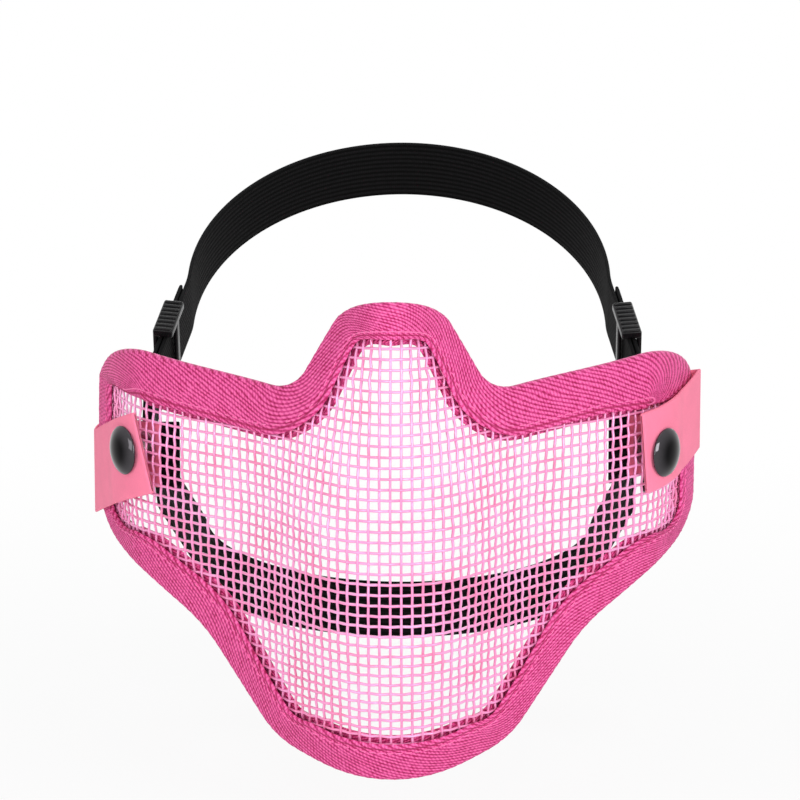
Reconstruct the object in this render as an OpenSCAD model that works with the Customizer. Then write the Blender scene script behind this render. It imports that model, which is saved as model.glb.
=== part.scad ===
// Half-face mask of woven steel mesh, bound in tape, held by two elastic straps.
// Millimetres. The face looks along -Y, +Z is up, and the origin lies on the middle
// plane, level with the two snap fasteners, where the head is held.

/* [Face form] */
// How far the muzzle stands in front of the snaps
muzzle_depth = 67.8; // [64:0.2:70]
// How far the cheeks, carried on to the middle, stand in front of the snaps
cheek_depth = 41.2; // [38:0.2:44]
// How far the cheeks sweep back, 50 mm from the middle
cheek_sweep = 11.6; // [10:0.2:13]
// Further sweep of the wings, 90 mm from the middle
wing_sweep = 14.3; // [12:0.2:16]
// Turn of the wings towards the head over their last 15 mm
wing_turn = 18; // [16:0.2:19]
// How far the upper cheeks lean back, 50 mm up
upper_lean = 25.3; // [22:0.2:27]
// How far the jaw leans back, 80 mm down
jaw_lean = 26.9; // [24:0.2:29]
// How far the nose ridge leans back by its top
nose_lean = 12.4; // [10:0.2:14]
// How far the chin ridge falls back by its bottom
chin_fall = 19.6; // [17:0.2:21]
// Half width of the muzzle at the nose
nose_w = 29.5; // [28:0.1:31]
// Half width of the muzzle at the mouth
mouth_w = 32.7; // [31:0.1:34]
// Half width of the muzzle at the chin
chin_w = 34.9; // [33:0.1:36]

/* [Outline] */
// Half width of the nose arch at its top
arch_x = 10.7; // [10:0.1:12]
// Height of the nose arch
arch_z = 54.8; // [53:0.1:57]
// Round of the nose arch
arch_r = 18.5; // [16:0.5:19]
// Place of the notch beside the nose, from the middle
notch_x = 28.4; // [27.5:0.1:29.5]
// Height of the notch
notch_z = 25.6; // [24:0.1:27]
// Round of the notch
notch_r = 12; // [9:0.5:13]
// Half width of the mask
wing_x = 90.6; // [88:0.1:92]
// Height of the wing's upper corner
wing_top = 29.7; // [28:0.1:31]
// Round of the wing's upper corner
wing_top_r = 15; // [13:0.5:16]
// Depth of the wing's lower corner below the snaps
wing_low = 28.5; // [27:0.1:30]
// Round of the wing's lower corner
wing_low_r = 16; // [14:0.5:18]
// Place of the bend of the jaw line, from the middle
jaw_x = 57; // [55:0.2:59]
// Depth of the bend of the jaw line
jaw_z = 50.6; // [49:0.1:52]
// Round of the bend of the jaw line
jaw_r = 45; // [40:1:50]
// Half width of the chin
chin_x = 34; // [33:0.2:36]
// Depth of the chin's corner
chin_z = 82.4; // [81:0.1:84]
// Round of the chin's corner
chin_r = 21; // [19:0.5:23]
// Depth of the chin in the middle
chin_low = 93; // [92:0.1:95]
// Round of the chin in the middle
chin_mid_r = 70; // [60:1:75]

/* [Mesh] */
// Thickness of the woven mesh, two wires
mesh_t = 1.5; // [1.2:0.1:1.8]
// Columns of gaps in each half of the net
net_columns = 12; // [10:1:12]
// Rows of gaps in the net
net_rows = 10; // [8:1:12]
// Width of a bar of the net
net_bar = 2.4; // [2:0.1:3]

/* [Edge tape] */
// Thickness of the tape
tape_t = 1.1; // [0.9:0.1:1.4]
// Width of the leg of the tape on the front
tape_front = 15; // [13:0.5:16]
// Width of the leg of the tape behind
tape_back = 16.5; // [14:0.5:17]
// Room between the mesh and each leg of the tape
tape_room = 0.5; // [0.45:0.05:0.6]
// How far the edge of the mesh stays inside the fold of the tape
fold_room = 2.4; // [2:0.1:3]

/* [Snap tabs] */
// Width of a tab
tab_w = 25; // [24:0.5:26]
// Width of the rear leg of a tab
tab_back_w = 20; // [18:0.5:22]
// Thickness of a tab
tab_t = 1.6; // [1.4:0.1:2]
// Room between a tab and the tape
tab_room = 0.4; // [0.3:0.1:0.6]
// How far a tab reaches inward from its snap on the front
tab_front_reach = 9.5; // [9:0.5:12]
// How far a tab reaches inward from its snap behind
tab_back_reach = 15; // [13:0.5:17]
// Slope of the left tab, in degrees
tab_slope_left = 15; // [-5:1:16]
// Slope of the right tab, in degrees
tab_slope_right = 0; // [-5:1:8]
// Distance of the snaps inside the wing's edge
snap_in = 12.3; // [12:0.1:13]
// Diameter of the domed cap
cap_d = 15; // [13:0.5:16]
// Height of the domed cap
cap_h = 3.2; // [2.4:0.1:4]
// Diameter of the post of the snap
post_d = 3.6; // [3:0.1:4]
// Diameter of the spring socket
socket_d = 11; // [10:0.5:12]
// Diameter of the rivet head behind the tab
rivet_d = 10; // [8:0.5:11]
// Room between the parts of a snap
snap_room = 0.15; // [0.1:0.05:0.2]

/* [Straps] */
// Width of the elastic straps
strap_w = 20; // [18:0.5:21]
// Thickness of the elastic straps
strap_t = 1.3; // [1.1:0.1:1.5]
// Room between layers of strap
strap_room = 0.3; // [0.3:0.05:0.4]
// Distance of the seams of the straps inside the wing's edge
seam_in = 15; // [14.6:0.1:15.6]
// Distance of the seams behind the snaps
seam_back = 17.8; // [17.3:0.1:18.8]
// Height of the upper strap's seam
upper_seam_z = 5; // [4:0.2:6]
// Depth of the lower strap's seam
lower_seam_z = 7; // [6:0.2:8]
// Rise of the upper strap
upper_rise = 23; // [20:0.5:25]
// Drop of the lower strap
lower_drop = 42; // [40:0.5:44]
// Length of the straight part of the upper strap
upper_straight = 64; // [62:0.5:66]
// Half width of the head at the upper strap
upper_half = 66.5; // [65.5:0.1:68]
// Reach of the upper strap round the back of the head
upper_round = 80; // [76:0.5:84]
// Length of the straight part of the lower strap
lower_straight = 58; // [55:0.5:60]
// Half width of the neck at the lower strap
lower_half = 62; // [60:0.2:64]
// Reach of the lower strap round the nape
lower_round = 44; // [40:0.5:48]
// Length of the doubled strap that the slider runs on
return_len = 46; // [42:0.5:48]

/* [Sliders] */
// Distance of a slider from its seam
slider_at = 38; // [36:0.5:40]
// Length of a slider along the strap
slider_l = 17; // [15:0.5:18]
// Width of a bar of the slider
slider_bar = 3; // [2.6:0.1:3.2]
// Thickness of a bar of the slider
slider_t = 1.4; // [1.3:0.1:2]

/* [Hidden] */

$fn = 48;
left = -1;
right = 1;

// Depth of the face. A broad cheek surface carries a muzzle whose ridge line falls back
// at the nose and at the chin, and whose flanks fade out as exp(-(x/w)^p). Each sweep and
// lean is reached at its own distance, and the muzzle has a width at four levels.
cheek_at = 50;
wing_at = 90;
turn_in = 14.8;
turn_from = wing_x - turn_in;
turn_run = 15;
snap_x = wing_x - snap_in;
seam_x = wing_x - seam_in;
cheek_level = -5;
upper_run = 50;
jaw_run = 80;
jaw_at = 65;
jaw_share = 0.35;
ridge_from = 5;
ridge_run = 45;
ridge_share = 0.43;
nose_from = 20;
nose_run = 30;
chin_from = -30.6;
chin_run = 60;
chin_level = -75;
mouth_level = -10;
nose_level = 22;
bridge_level = 48;
bridge_w = 0.72 * nose_w;
muzzle_powers = [2.3, 3.6, 1.8, 2];
function above(v, level) = max(v - level, 0);
function cheek_y(x, z) = -cheek_depth + cheek_sweep * pow(x / cheek_at, 2) + wing_sweep * pow(x / wing_at, 4)
    + wing_turn * pow(above(abs(x), turn_from) / turn_run, 2)
    + upper_lean * pow(above(z, cheek_level) / upper_run, 2)
    + jaw_lean * pow(above(cheek_level, z) / jaw_run, 2) * (jaw_share + (1 - jaw_share) * pow(x / jaw_at, 2));
function middle_y(z) = -cheek_depth + upper_lean * pow(above(z, cheek_level) / upper_run, 2)
    + jaw_share * jaw_lean * pow(above(cheek_level, z) / jaw_run, 2);
function ridge_y(z) = -muzzle_depth
    + nose_lean * (ridge_share * above(z, ridge_from) / ridge_run
        + (1 - ridge_share) * pow(above(z, nose_from) / nose_run, 2))
    + chin_fall * pow(above(chin_from, z) / chin_run, 2);
function by_level(z, values) = lookup(z, [[chin_level, values[0]], [mouth_level, values[1]],
    [nose_level, values[2]], [bridge_level, values[3]]]);
function muzzle_w(z) = by_level(z, [chin_w, mouth_w, nose_w, bridge_w]);
function muzzle_p(z) = by_level(z, muzzle_powers);
function face_y(x, z) = cheek_y(x, z)
    - (middle_y(z) - ridge_y(z)) * exp(-pow(abs(x) / muzzle_w(z), muzzle_p(z)));

function unit(v) = v / norm(v);
function skin(p) = [p.x, face_y(p.x, p.y), p.y];
probe = 0.4;
function front(p) = unit([
    (face_y(p.x + probe, p.y) - face_y(p.x - probe, p.y)) / (2 * probe),
    -1,
    (face_y(p.x, p.y + probe) - face_y(p.x, p.y - probe)) / (2 * probe)]);
function off_skin(p, n) = skin(p) + n * front(p);

// Outline in the x, z plane, clockwise from the nose: corners with their rounds, joined
// by straight stretches that are cut into steps.
outline_step = 5.5;
half_corners = [
    [arch_x, arch_z, arch_r], [notch_x, notch_z, notch_r], [wing_x, wing_top, wing_top_r],
    [wing_x, -wing_low, wing_low_r], [jaw_x, -jaw_z, jaw_r], [chin_x, -chin_z, chin_r]];
corners = concat(half_corners, [[0, -chin_low, chin_mid_r]],
    [for (i = [len(half_corners) - 1:-1:0]) [-half_corners[i].x, half_corners[i].y, half_corners[i].z]]);
function flat(p) = [p.x, p.y];
function round_corner(before, here, after) =
    let (a = unit(flat(before) - flat(here)), b = unit(flat(after) - flat(here)),
        half = acos(a * b) / 2, sweep = 180 - 2 * half, r = here.z,
        centre = flat(here) + unit(a + b) * r / sin(half),
        from = (flat(here) + a * r / tan(half) - centre) / r,
        to = (flat(here) + b * r / tan(half) - centre) / r,
        steps = max(2, ceil(r * sweep * PI / 180 / outline_step)))
    [for (k = [0:steps]) centre
        + r * (sin(sweep * (1 - k / steps)) * from + sin(sweep * k / steps) * to) / sin(sweep)];
rounds = [for (i = [0:len(corners) - 1])
    round_corner(corners[(i + len(corners) - 1) % len(corners)], corners[i], corners[(i + 1) % len(corners)])];
function stretch(a, b) = let (steps = max(1, ceil(norm(b - a) / outline_step)))
    [for (k = [1:1:steps - 1]) a + (b - a) * k / steps];
outline = [for (i = [0:len(rounds) - 1])
    each concat(rounds[i], stretch(rounds[i][len(rounds[i]) - 1], rounds[(i + 1) % len(rounds)][0]))];
stations = len(outline);
function inward(k) = let (t = unit(outline[(k + 1) % stations] - outline[(k + stations - 1) % stations]))
    [t.y, -t.x];

// In-plane length of a leg of the tape whose length over the skin is reach
function plane_reach(e, n, reach, guess, rounds_left) = rounds_left == 0 ? guess
    : plane_reach(e, n, reach, guess * reach / norm(skin(e + n * guess) - skin(e)), rounds_left - 1);
inwards = [for (k = [0:stations - 1]) inward(k)];
reaches = [for (k = [0:stations - 1]) plane_reach(outline[k], inwards[k], tape_back, tape_back * 0.7, 4)];
function inset(k, d) = outline[k] + inwards[k] * reaches[k] * d / tape_back;

// Run of the face from the middle outward at the level of the snaps, and its inverse
run_step = 1;
runs_end = 1.1 * wing_x;
runs = [for (x = 0, s = 0; x <= runs_end;
    s = s + norm([run_step, face_y(x + run_step, 0) - face_y(x, 0)]), x = x + run_step) [x, s]];
function run_at(x) = lookup(x, runs);
function x_at(run) = lookup(run, [for (p = runs) [p.y, p.x]]);
edge_run = run_at(wing_x);
snap_run = run_at(snap_x);

// Net of the mesh: columns at even runs, and rows that fan out between the two edges of
// the tape. The gaps next to the ridge are two cells wide, so that the bars follow its
// curve. The border under the tape and the tabs is whole, but for a hole at each snap.
ridge_columns = 3;
tape_cover = 13.5;
net_end = 80;
net_border = 2;
side_steps = 6;
row_share = 0.1;
function inset_line(d) = [for (k = [0:stations - 1]) inset(k, d)];
function upper_part(line) = [for (k = [0:stations - 1])
    if (outline[k].x > -0.01 && outline[k].y > 0) line[k]];
function lower_part(line) = [for (k = [stations - 1:-1:0])
    if (outline[k].x > -0.01 && outline[k].y < 0) line[k]];
mesh_upper = upper_part(inset_line(fold_room));
mesh_lower = lower_part(inset_line(fold_room));
net_upper = upper_part(inset_line(tape_cover));
net_lower = lower_part(inset_line(tape_cover));
net_pitch = run_at(net_end) / net_columns;
side_run = edge_run - fold_room - run_at(net_end);
function cells_of(column) = column < ridge_columns ? 2 : 1;
half_lines = concat(
    [for (i = [0:net_columns - 1], k = [0:cells_of(i)])
        i * net_pitch + net_bar / 2 + (net_pitch - net_bar) * k / cells_of(i)],
    [for (i = [0:side_steps]) run_at(net_end) + side_run * i / side_steps]);
half_gaps = [for (i = [0:net_columns - 1], k = [0:cells_of(i)]) k < cells_of(i)];
halves = len(half_lines);
lines_x = concat([for (i = [halves - 1:-1:0]) -x_at(half_lines[i])], [for (r = half_lines) x_at(r)]);
row_lines = concat([-1, -0.5],
    [for (r = [0:net_rows - 1]) each [(r + row_share) / net_rows, (r + 1 - row_share) / net_rows]],
    [1.5, 2]);
function line_z(x, v) =
    let (a = abs(x), low = lookup(a, mesh_lower), high = lookup(a, mesh_upper),
        net_low = max(lookup(a, net_lower), low + net_border),
        net_high = min(lookup(a, net_upper), high - net_border),
        first = net_low + (net_high - net_low) * row_lines[2],
        last = net_low + (net_high - net_low) * (1 - row_lines[2]))
    v == -1 ? low : v == -0.5 ? (low + first) / 2 : v == 1.5 ? (high + last) / 2 : v == 2 ? high
    : net_low + (net_high - net_low) * v;
net_grid = [for (x = lines_x) [for (v = row_lines) [x, line_z(x, v)]]];
columns = len(lines_x) - 1;
rows = len(row_lines) - 1;
post_hole = post_d / 2 + (net_pitch - net_bar) / 2 + tape_room;
snap_seat = post_hole + net_pitch;
function half_cell(i) = i >= halves ? i - halves : halves - 2 - i;
function in_net(i, j) = i != halves - 1 && half_cell(i) < len(half_gaps) && half_gaps[half_cell(i)]
    && j % 2 == 0 && j >= 2 && j <= 2 * net_rows;
function near_snap(i, j, reach) = let (p = (net_grid[i][j] + net_grid[i + 1][j + 1]) / 2)
    abs(run_at(abs(p.x)) - snap_run) < reach && abs(p.y) < reach;
whole = [for (i = [0:columns - 1]) [for (j = [0:rows - 1])
    !near_snap(i, j, post_hole) && (!in_net(i, j) || near_snap(i, j, snap_seat))]];
function is_whole(i, j) = i >= 0 && j >= 0 && i < columns && j < rows && whole[i][j];

module mesh_shell() {
    m = rows + 1;
    layer = (columns + 1) * m;
    points = [for (n = [mesh_t / 2, -mesh_t / 2], line = net_grid) each [for (p = line) off_skin(p, n)]];
    faces = [for (i = [0:columns - 1], j = [0:rows - 1]) if (whole[i][j])
        let (a = i * m + j, b = a + m, c = b + 1, d = a + 1)
        each concat(
            [[a, d, c], [a, c, b], [a + layer, b + layer, c + layer], [a + layer, c + layer, d + layer]],
            is_whole(i, j - 1) ? [] : [[a, b, b + layer], [a, b + layer, a + layer]],
            is_whole(i + 1, j) ? [] : [[b, c, c + layer], [b, c + layer, b + layer]],
            is_whole(i, j + 1) ? [] : [[c, d, d + layer], [c, d + layer, c + layer]],
            is_whole(i - 1, j) ? [] : [[d, a, a + layer], [d, a + layer, d + layer]])];
    color("pink") polyhedron(points, faces);
}

// Tape folded over the edge: a U of two legs swept round the outline
leg_in = mesh_t / 2 + tape_room;
leg_out = leg_in + tape_t;
fold_round = 2;
fold_nose = 0.2 * fold_round;
fold_inside = tape_t + 0.25 * fold_round;
tape_section = concat(
    [for (f = [1, 0.7, 0.4]) [f * tape_front, leg_out]], [[fold_round, leg_out]],
    [[fold_nose, 0.6 * leg_out], [0, 0], [fold_nose, -0.6 * leg_out]],
    [[fold_round, -leg_out]], [for (f = [0.4, 0.7, 1]) [f * tape_back, -leg_out]],
    [for (f = [1, 0.7, 0.4]) [f * tape_back, -leg_in]], [[fold_inside, -leg_in]],
    [[fold_inside, leg_in]], [for (f = [0.4, 0.7, 1]) [f * tape_front, leg_in]]);
module edge_tape() {
    rings = [for (k = [0:stations - 1]) [for (s = tape_section) off_skin(inset(k, s.x), s.y)]];
    m = len(tape_section);
    faces = [for (i = [0:stations - 1], j = [0:m - 1])
        let (a = i * m + j, b = i * m + (j + 1) % m, c = (i + 1) % stations * m + (j + 1) % m,
            d = (i + 1) % stations * m + j)
        each [[a, b, c], [a, c, d]]];
    color("mediumvioletred") polyhedron([for (ring = rings) each ring], faces);
}

// Tabs: a strip folded round each wing's edge, felt in front and webbing behind. Its plan
// is drawn at the level of the snaps and is straight in height, so that the fold has a
// straight line to turn on.
function plan_out(run) = let (x = x_at(min(run, edge_run)))
    unit([face_y(x + probe, 0) - face_y(x - probe, 0), -2 * probe]);
function plan_point(run, n) =
    let (x = x_at(min(run, edge_run)), out = plan_out(run))
    [x, face_y(x, 0)] + out * n + [-out.y, out.x] * max(run - edge_run, 0);
back_extra = 1.1;
back_share = 0.5;
back_room = tab_room + back_extra;
front_mid = leg_out + tab_room + tab_t / 2;
back_mid = leg_out + back_room + tab_t / 2;
fold_r = (front_mid + back_mid) / 2;
fold_n = (front_mid - back_mid) / 2;
fold_proud = 0.5;
fold_run = edge_run + fold_proud;
fold_lead = 1;
fold_cut = 1.8;
fold_steps = 5;
leg_steps = 11;
function fold_path(from, to, r) = [for (k = [0:fold_steps])
    let (t = from + (to - from) * k / fold_steps) plan_point(fold_run + r * cos(t), fold_n + r * sin(t))];
function leg_path(run_from, run_to, n) = [for (k = [0:leg_steps])
    plan_point(run_from + (run_to - run_from) * k / leg_steps, n)];
function reversed(list) = [for (i = [len(list) - 1:-1:0]) list[i]];
reach_spare = 1.5;
front_start = snap_run - reach_spare * tab_front_reach;
back_start = snap_run - reach_spare * tab_back_reach;
leg_end = fold_run - fold_lead;
function half_plan(start, mid, turn) = concat(
    leg_path(start, leg_end, turn * (mid + tab_t / 2)),
    fold_path(turn * 90, turn * fold_cut, fold_r + tab_t / 2),
    reversed(fold_path(turn * 90, turn * fold_cut, fold_r - tab_t / 2)),
    reversed(leg_path(start, leg_end, turn * (mid - tab_t / 2))));
flap_plan = half_plan(front_start, front_mid, 1);
back_plan = half_plan(back_start, back_mid, -1);
snap_out = plan_out(snap_run);
snap_at = plan_point(snap_run, 0);

// Places its children on the axis of a snap, +Z out of the face
module on_snap(side) {
    mirror([side == left ? 1 : 0, 0, 0])
        translate([snap_at.x, snap_at.y, 0]) rotate([0, 90, atan2(snap_out.y, snap_out.x)]) children();
}
module strip(side, slope, width, reach, plan) {
    intersection() {
        mirror([side == left ? 1 : 0, 0, 0])
            translate([0, 0, -1.5 * tab_w]) linear_extrude(3 * tab_w) polygon(plan);
        on_snap(side) rotate([0, 0, side * slope]) translate([-width / 2, -reach, -3 * tab_w])
            cube([width, reach + 3 * tab_w, 6 * tab_w]);
    }
}
module tab_flap(side, slope) {
    color("lightcoral") difference() {
        strip(side, slope, tab_w, tab_front_reach, flap_plan);
        on_snap(side) cylinder(d = tube_d + 2 * snap_room, h = 4 * tab_t + front_mid);
    }
}
module tab_back(side, slope) {
    color("black") difference() {
        strip(side, back_share * slope, tab_back_w, tab_back_reach, back_plan);
        on_snap(side) translate([0, 0, -back_mid - 2 * tab_t])
            cylinder(d = post_d + 2 * snap_room, h = 4 * tab_t);
    }
}

// Snap fastener: the cap and its tube hold the spring socket to the flap, and the stud
// grips the back of the tab between its flange and the rivet head
tube_wall = 0.6;
tube_d = post_d + 2 * tube_wall;
head_wall = 0.5;
head_d = post_d + 2 * head_wall;
flange_h = 0.8;
socket_roof = 0.3;
head_drop = 0.3;
head_gap = 0.4;
rivet_h = 0.8;
cap_rim = 0.8;
cap_root = 0.2;
flap_face = front_mid - tab_t / 2;
back_inner = -back_mid + tab_t / 2;
back_outer = -back_mid - tab_t / 2;
socket_low = mesh_t / 2 + tape_room;
socket_inner = flap_face - socket_roof;
cap_sphere_r = (pow(cap_d / 2, 2) + pow(cap_h - cap_rim, 2)) / (2 * (cap_h - cap_rim));
module snap_cap(side) {
    color("dimgray") on_snap(side) {
        translate([0, 0, flap_face + tab_t]) intersection() {
            translate([0, 0, cap_h - cap_sphere_r]) sphere(r = cap_sphere_r, $fn = 96);
            cylinder(d = cap_d, h = 2 * cap_h);
        }
        translate([0, 0, flap_face]) cylinder(d = tube_d, h = tab_t + cap_root);
    }
}
module snap_socket(side) {
    color("silver") on_snap(side) difference() {
        translate([0, 0, socket_low]) cylinder(d = socket_d, h = flap_face - socket_low);
        translate([0, 0, -socket_inner]) cylinder(d = head_d + 2 * snap_room, h = 2 * socket_inner);
    }
}
module snap_stud(side) {
    color("silver") on_snap(side) {
        translate([0, 0, back_outer]) cylinder(d = post_d, h = socket_low - back_outer);
        translate([0, 0, back_inner]) cylinder(d = rivet_d, h = flange_h);
        translate([0, 0, socket_low - head_drop])
            cylinder(d = head_d, h = socket_inner - head_gap - socket_low + head_drop);
    }
}
module snap_rivet(side) {
    color("silver") on_snap(side) translate([0, 0, back_outer - rivet_h]) cylinder(d = rivet_d, h = rivet_h);
}

// Straps: closed runs of webbing drawn flat and tilted about the line of their seams
seam_flat = 14;
seam_y = snap_at.y + seam_back;
patch_t = 1.5;
patch_lap = 1;
upper_x = seam_x - strap_room - strap_t / 2;
lower_x = upper_x - strap_room - strap_t;
round_steps = 14;
function loop_path(x, straight, half, reach) = concat(
    [[x, 0], [x, seam_flat], [half, straight]],
    [for (k = [1:round_steps]) let (t = 90 * k / round_steps) [half * cos(t), straight + reach * sin(t)]]);
function normals(path) = [for (k = [0:len(path) - 1])
    let (a = path[max(k - 1, 0)], b = path[min(k + 1, len(path) - 1)],
        t = k == len(path) - 1 ? [-1, 0] : unit(b - a)) [t.y, -t.x]];
function beside(path, d) = let (n = normals(path)) [for (k = [0:len(path) - 1]) path[k] + n[k] * d];
function mirrored(path) = [for (i = [len(path) - 2:-1:0]) [-path[i].x, path[i].y]];
function band_plan(path) = let (out = beside(path, strap_t / 2), in = beside(path, -strap_t / 2))
    concat(out, mirrored(out), reversed(concat(in, mirrored(in))));
module at_seam(z, tilt) {
    translate([0, seam_y, z]) rotate([tilt, 0, 0]) children();
}
module strap_loop(path) {
    linear_extrude(strap_w, center = true) polygon(band_plan(path));
    for (side = [left, right])
        translate([side * path[0].x, 0, 0]) rotate([0, 90, 0])
            cylinder(d = strap_w, h = strap_t, center = true);
}
upper_path = loop_path(upper_x, upper_straight, upper_half, upper_round);
lower_path = loop_path(lower_x, lower_straight, lower_half, lower_round);
module upper_strap() {
    color("black") at_seam(upper_seam_z, upper_rise) strap_loop(upper_path);
}
module lower_strap() {
    color("black") at_seam(-lower_seam_z, -lower_drop) strap_loop(lower_path);
}

// Straight part of the upper strap: its children lie with +Y along it, +X outward
slant = atan2(upper_x - upper_half, upper_straight - seam_flat);
module on_straight(side) {
    mirror([side == left ? 1 : 0, 0, 0]) at_seam(upper_seam_z, upper_rise)
        translate([upper_x, seam_flat, 0]) rotate([0, 0, slant]) children();
}
return_x = strap_t / 2 + strap_room;
return_gap = 2;
module upper_return(side) {
    color("black") on_straight(side) translate([return_x, return_gap, -strap_w / 2])
        cube([strap_t, return_len - return_gap, strap_w]);
}
module slider(side) {
    low = -strap_t / 2 - strap_room - slider_t;
    high = return_x + strap_t + strap_room;
    wide = strap_w / 2 + strap_room;
    color("black") on_straight(side) translate([0, slider_at - seam_flat, 0]) {
        for (end = [-1, 1]) {
            translate([high, end * (slider_l - slider_bar) / 2 - slider_bar / 2, -wide])
                cube([slider_t, slider_bar, 2 * wide]);
            translate([low, -slider_l / 2, end * (wide + slider_bar / 2) - slider_bar / 2])
                cube([high + slider_t - low, slider_l, slider_bar]);
        }
        translate([low, -slider_bar / 2, -wide]) cube([slider_t, slider_bar, 2 * wide]);
    }
}
module strap_patch(side) {
    color("black") difference() {
        mirror([side == left ? 1 : 0, 0, 0]) translate([seam_x, 0, 0]) hull()
            for (z = [upper_seam_z, -lower_seam_z], lap = [0, patch_lap])
                translate([0, seam_y - lap, z]) rotate([0, 90, 0]) cylinder(d = strap_w, h = patch_t, $fn = 32);
        on_snap(side) translate([0, 0, back_outer - 2 * patch_t])
            cylinder(d = rivet_d + 2 * strap_room, h = 2 * patch_t + tab_t);
    }
}

mesh_shell();
edge_tape();
tab_flap(left, tab_slope_left);  // tab_flap_left
tab_flap(right, tab_slope_right);  // tab_flap_right
tab_back(left, tab_slope_left);  // tab_back_left
tab_back(right, tab_slope_right);  // tab_back_right
snap_cap(left);  // snap_cap_left
snap_cap(right);  // snap_cap_right
snap_socket(left);  // snap_socket_left
snap_socket(right);  // snap_socket_right
snap_stud(left);  // snap_stud_left
snap_stud(right);  // snap_stud_right
snap_rivet(left);  // snap_rivet_left
snap_rivet(right);  // snap_rivet_right
strap_patch(left);  // strap_patch_left
strap_patch(right);  // strap_patch_right
upper_strap();
upper_return(left);  // upper_return_left
upper_return(right);  // upper_return_right
lower_strap();
slider(left);  // slider_left
slider(right);  // slider_right
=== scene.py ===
"""Looks of a half-face mask of woven steel mesh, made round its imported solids.

Shapes are worked out in millimetres and put into meshes in metres. The face is the
surface y = f(x, z) of the solids, so every piece sits on it by the same formula.
"""

import bmesh
import bpy
import numpy as np
from bpy.props import FloatProperty, FloatVectorProperty, IntProperty, PointerProperty
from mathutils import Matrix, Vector


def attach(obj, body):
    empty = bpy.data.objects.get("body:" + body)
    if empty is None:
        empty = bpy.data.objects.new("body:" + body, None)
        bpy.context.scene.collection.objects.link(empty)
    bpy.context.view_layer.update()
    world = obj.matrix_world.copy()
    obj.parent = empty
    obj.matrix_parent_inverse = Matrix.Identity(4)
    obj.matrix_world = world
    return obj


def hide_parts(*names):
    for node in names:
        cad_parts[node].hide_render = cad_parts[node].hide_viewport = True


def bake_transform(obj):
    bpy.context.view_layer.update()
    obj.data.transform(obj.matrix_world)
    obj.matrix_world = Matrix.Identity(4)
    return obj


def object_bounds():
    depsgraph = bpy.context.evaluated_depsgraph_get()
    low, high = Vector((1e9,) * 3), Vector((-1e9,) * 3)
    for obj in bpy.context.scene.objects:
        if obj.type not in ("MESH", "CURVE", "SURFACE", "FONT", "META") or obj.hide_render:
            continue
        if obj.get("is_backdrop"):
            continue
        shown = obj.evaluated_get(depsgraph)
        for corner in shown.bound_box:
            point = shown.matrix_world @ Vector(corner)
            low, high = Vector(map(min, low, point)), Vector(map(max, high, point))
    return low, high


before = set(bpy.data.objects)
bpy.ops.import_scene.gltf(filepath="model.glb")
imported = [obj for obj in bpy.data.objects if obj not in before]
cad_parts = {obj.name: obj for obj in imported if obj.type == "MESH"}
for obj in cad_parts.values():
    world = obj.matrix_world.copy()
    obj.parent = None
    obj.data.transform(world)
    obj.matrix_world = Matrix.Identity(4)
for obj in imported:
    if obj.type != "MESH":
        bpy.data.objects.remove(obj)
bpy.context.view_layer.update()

bl_info = {
    "name": "Half-face mesh mask",
    "version": (1, 0, 0),
    "blender": (4, 5, 0),
    "location": "View3D > Sidebar > Mask",
    "description": "Builds the wires, tape, tabs, snaps and straps of a half-face mesh mask",
    "category": "Object",
}

MM = 0.001
TURN = 2 * np.pi
SIDES = {"left": -1, "right": 1}

# Form of the face, in mm, as in the solids
MUZZLE_DEPTH, CHEEK_DEPTH = 67.8, 41.2
CHEEK_SWEEP, CHEEK_AT = 11.6, 50
WING_SWEEP, WING_AT = 14.3, 90
WING_TURN, TURN_FROM, TURN_RUN = 18, 75.8, 15
CHEEK_LEVEL = -5
UPPER_LEAN, UPPER_RUN = 25.3, 50
JAW_LEAN, JAW_RUN, JAW_AT, JAW_SHARE = 26.9, 80, 65, 0.35
NOSE_LEAN, RIDGE_SHARE = 12.4, 0.43
RIDGE_FROM, RIDGE_RUN, NOSE_FROM, NOSE_RUN = 5, 45, 20, 30
CHIN_FALL, CHIN_FROM, CHIN_RUN = 19.6, -30.6, 60
LEVELS = (-75, -10, 22, 48)
MUZZLE_WIDTHS = (34.9, 32.7, 29.5, 21.24)
MUZZLE_POWERS = (2.3, 3.6, 1.8, 2)
# Steps over which the slope and the run of the face are taken
PROBE, RUN_STEP = 0.4, 0.05

# Outline of the mask: corners of its right half and their rounds, from the nose to the chin
HALF_CORNERS = ((10.7, 54.8, 18.5), (28.4, 25.6, 12), (90.6, 29.7, 15),
                (90.6, -28.5, 16), (57, -50.6, 45), (34, -82.4, 21))
CHIN_CORNER = (0, -93, 70)
WING_X = 90.6
ARC_STEP, OUTLINE_POINTS = 0.25, 6000
# Where the nose arch ends, the tape's inner edge under it, and how soft its corners are
ARCH_END, ARCH_INNER, ARCH_EASE = (16.4, 45.4), 44.7, 1.6
# Where each wing's upper corner starts and ends, how far the tape's inner edge dips towards
# it, in degrees, and how soft its corner is
WING_TURNS = {"left": ((74.5, 29), (90.6, 12)), "right": ((62, 28.4), (90.6, 12))}
WING_DIPS = {"left": 0, "right": 9}
WING_EASE = 0.5
# Least share of a station's inward step that brings it nearer to a line
LEAST_GAIN = 0.2
# Half of the length over which the tape's reach is averaged
REACH_BLUR = 1.5

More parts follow.
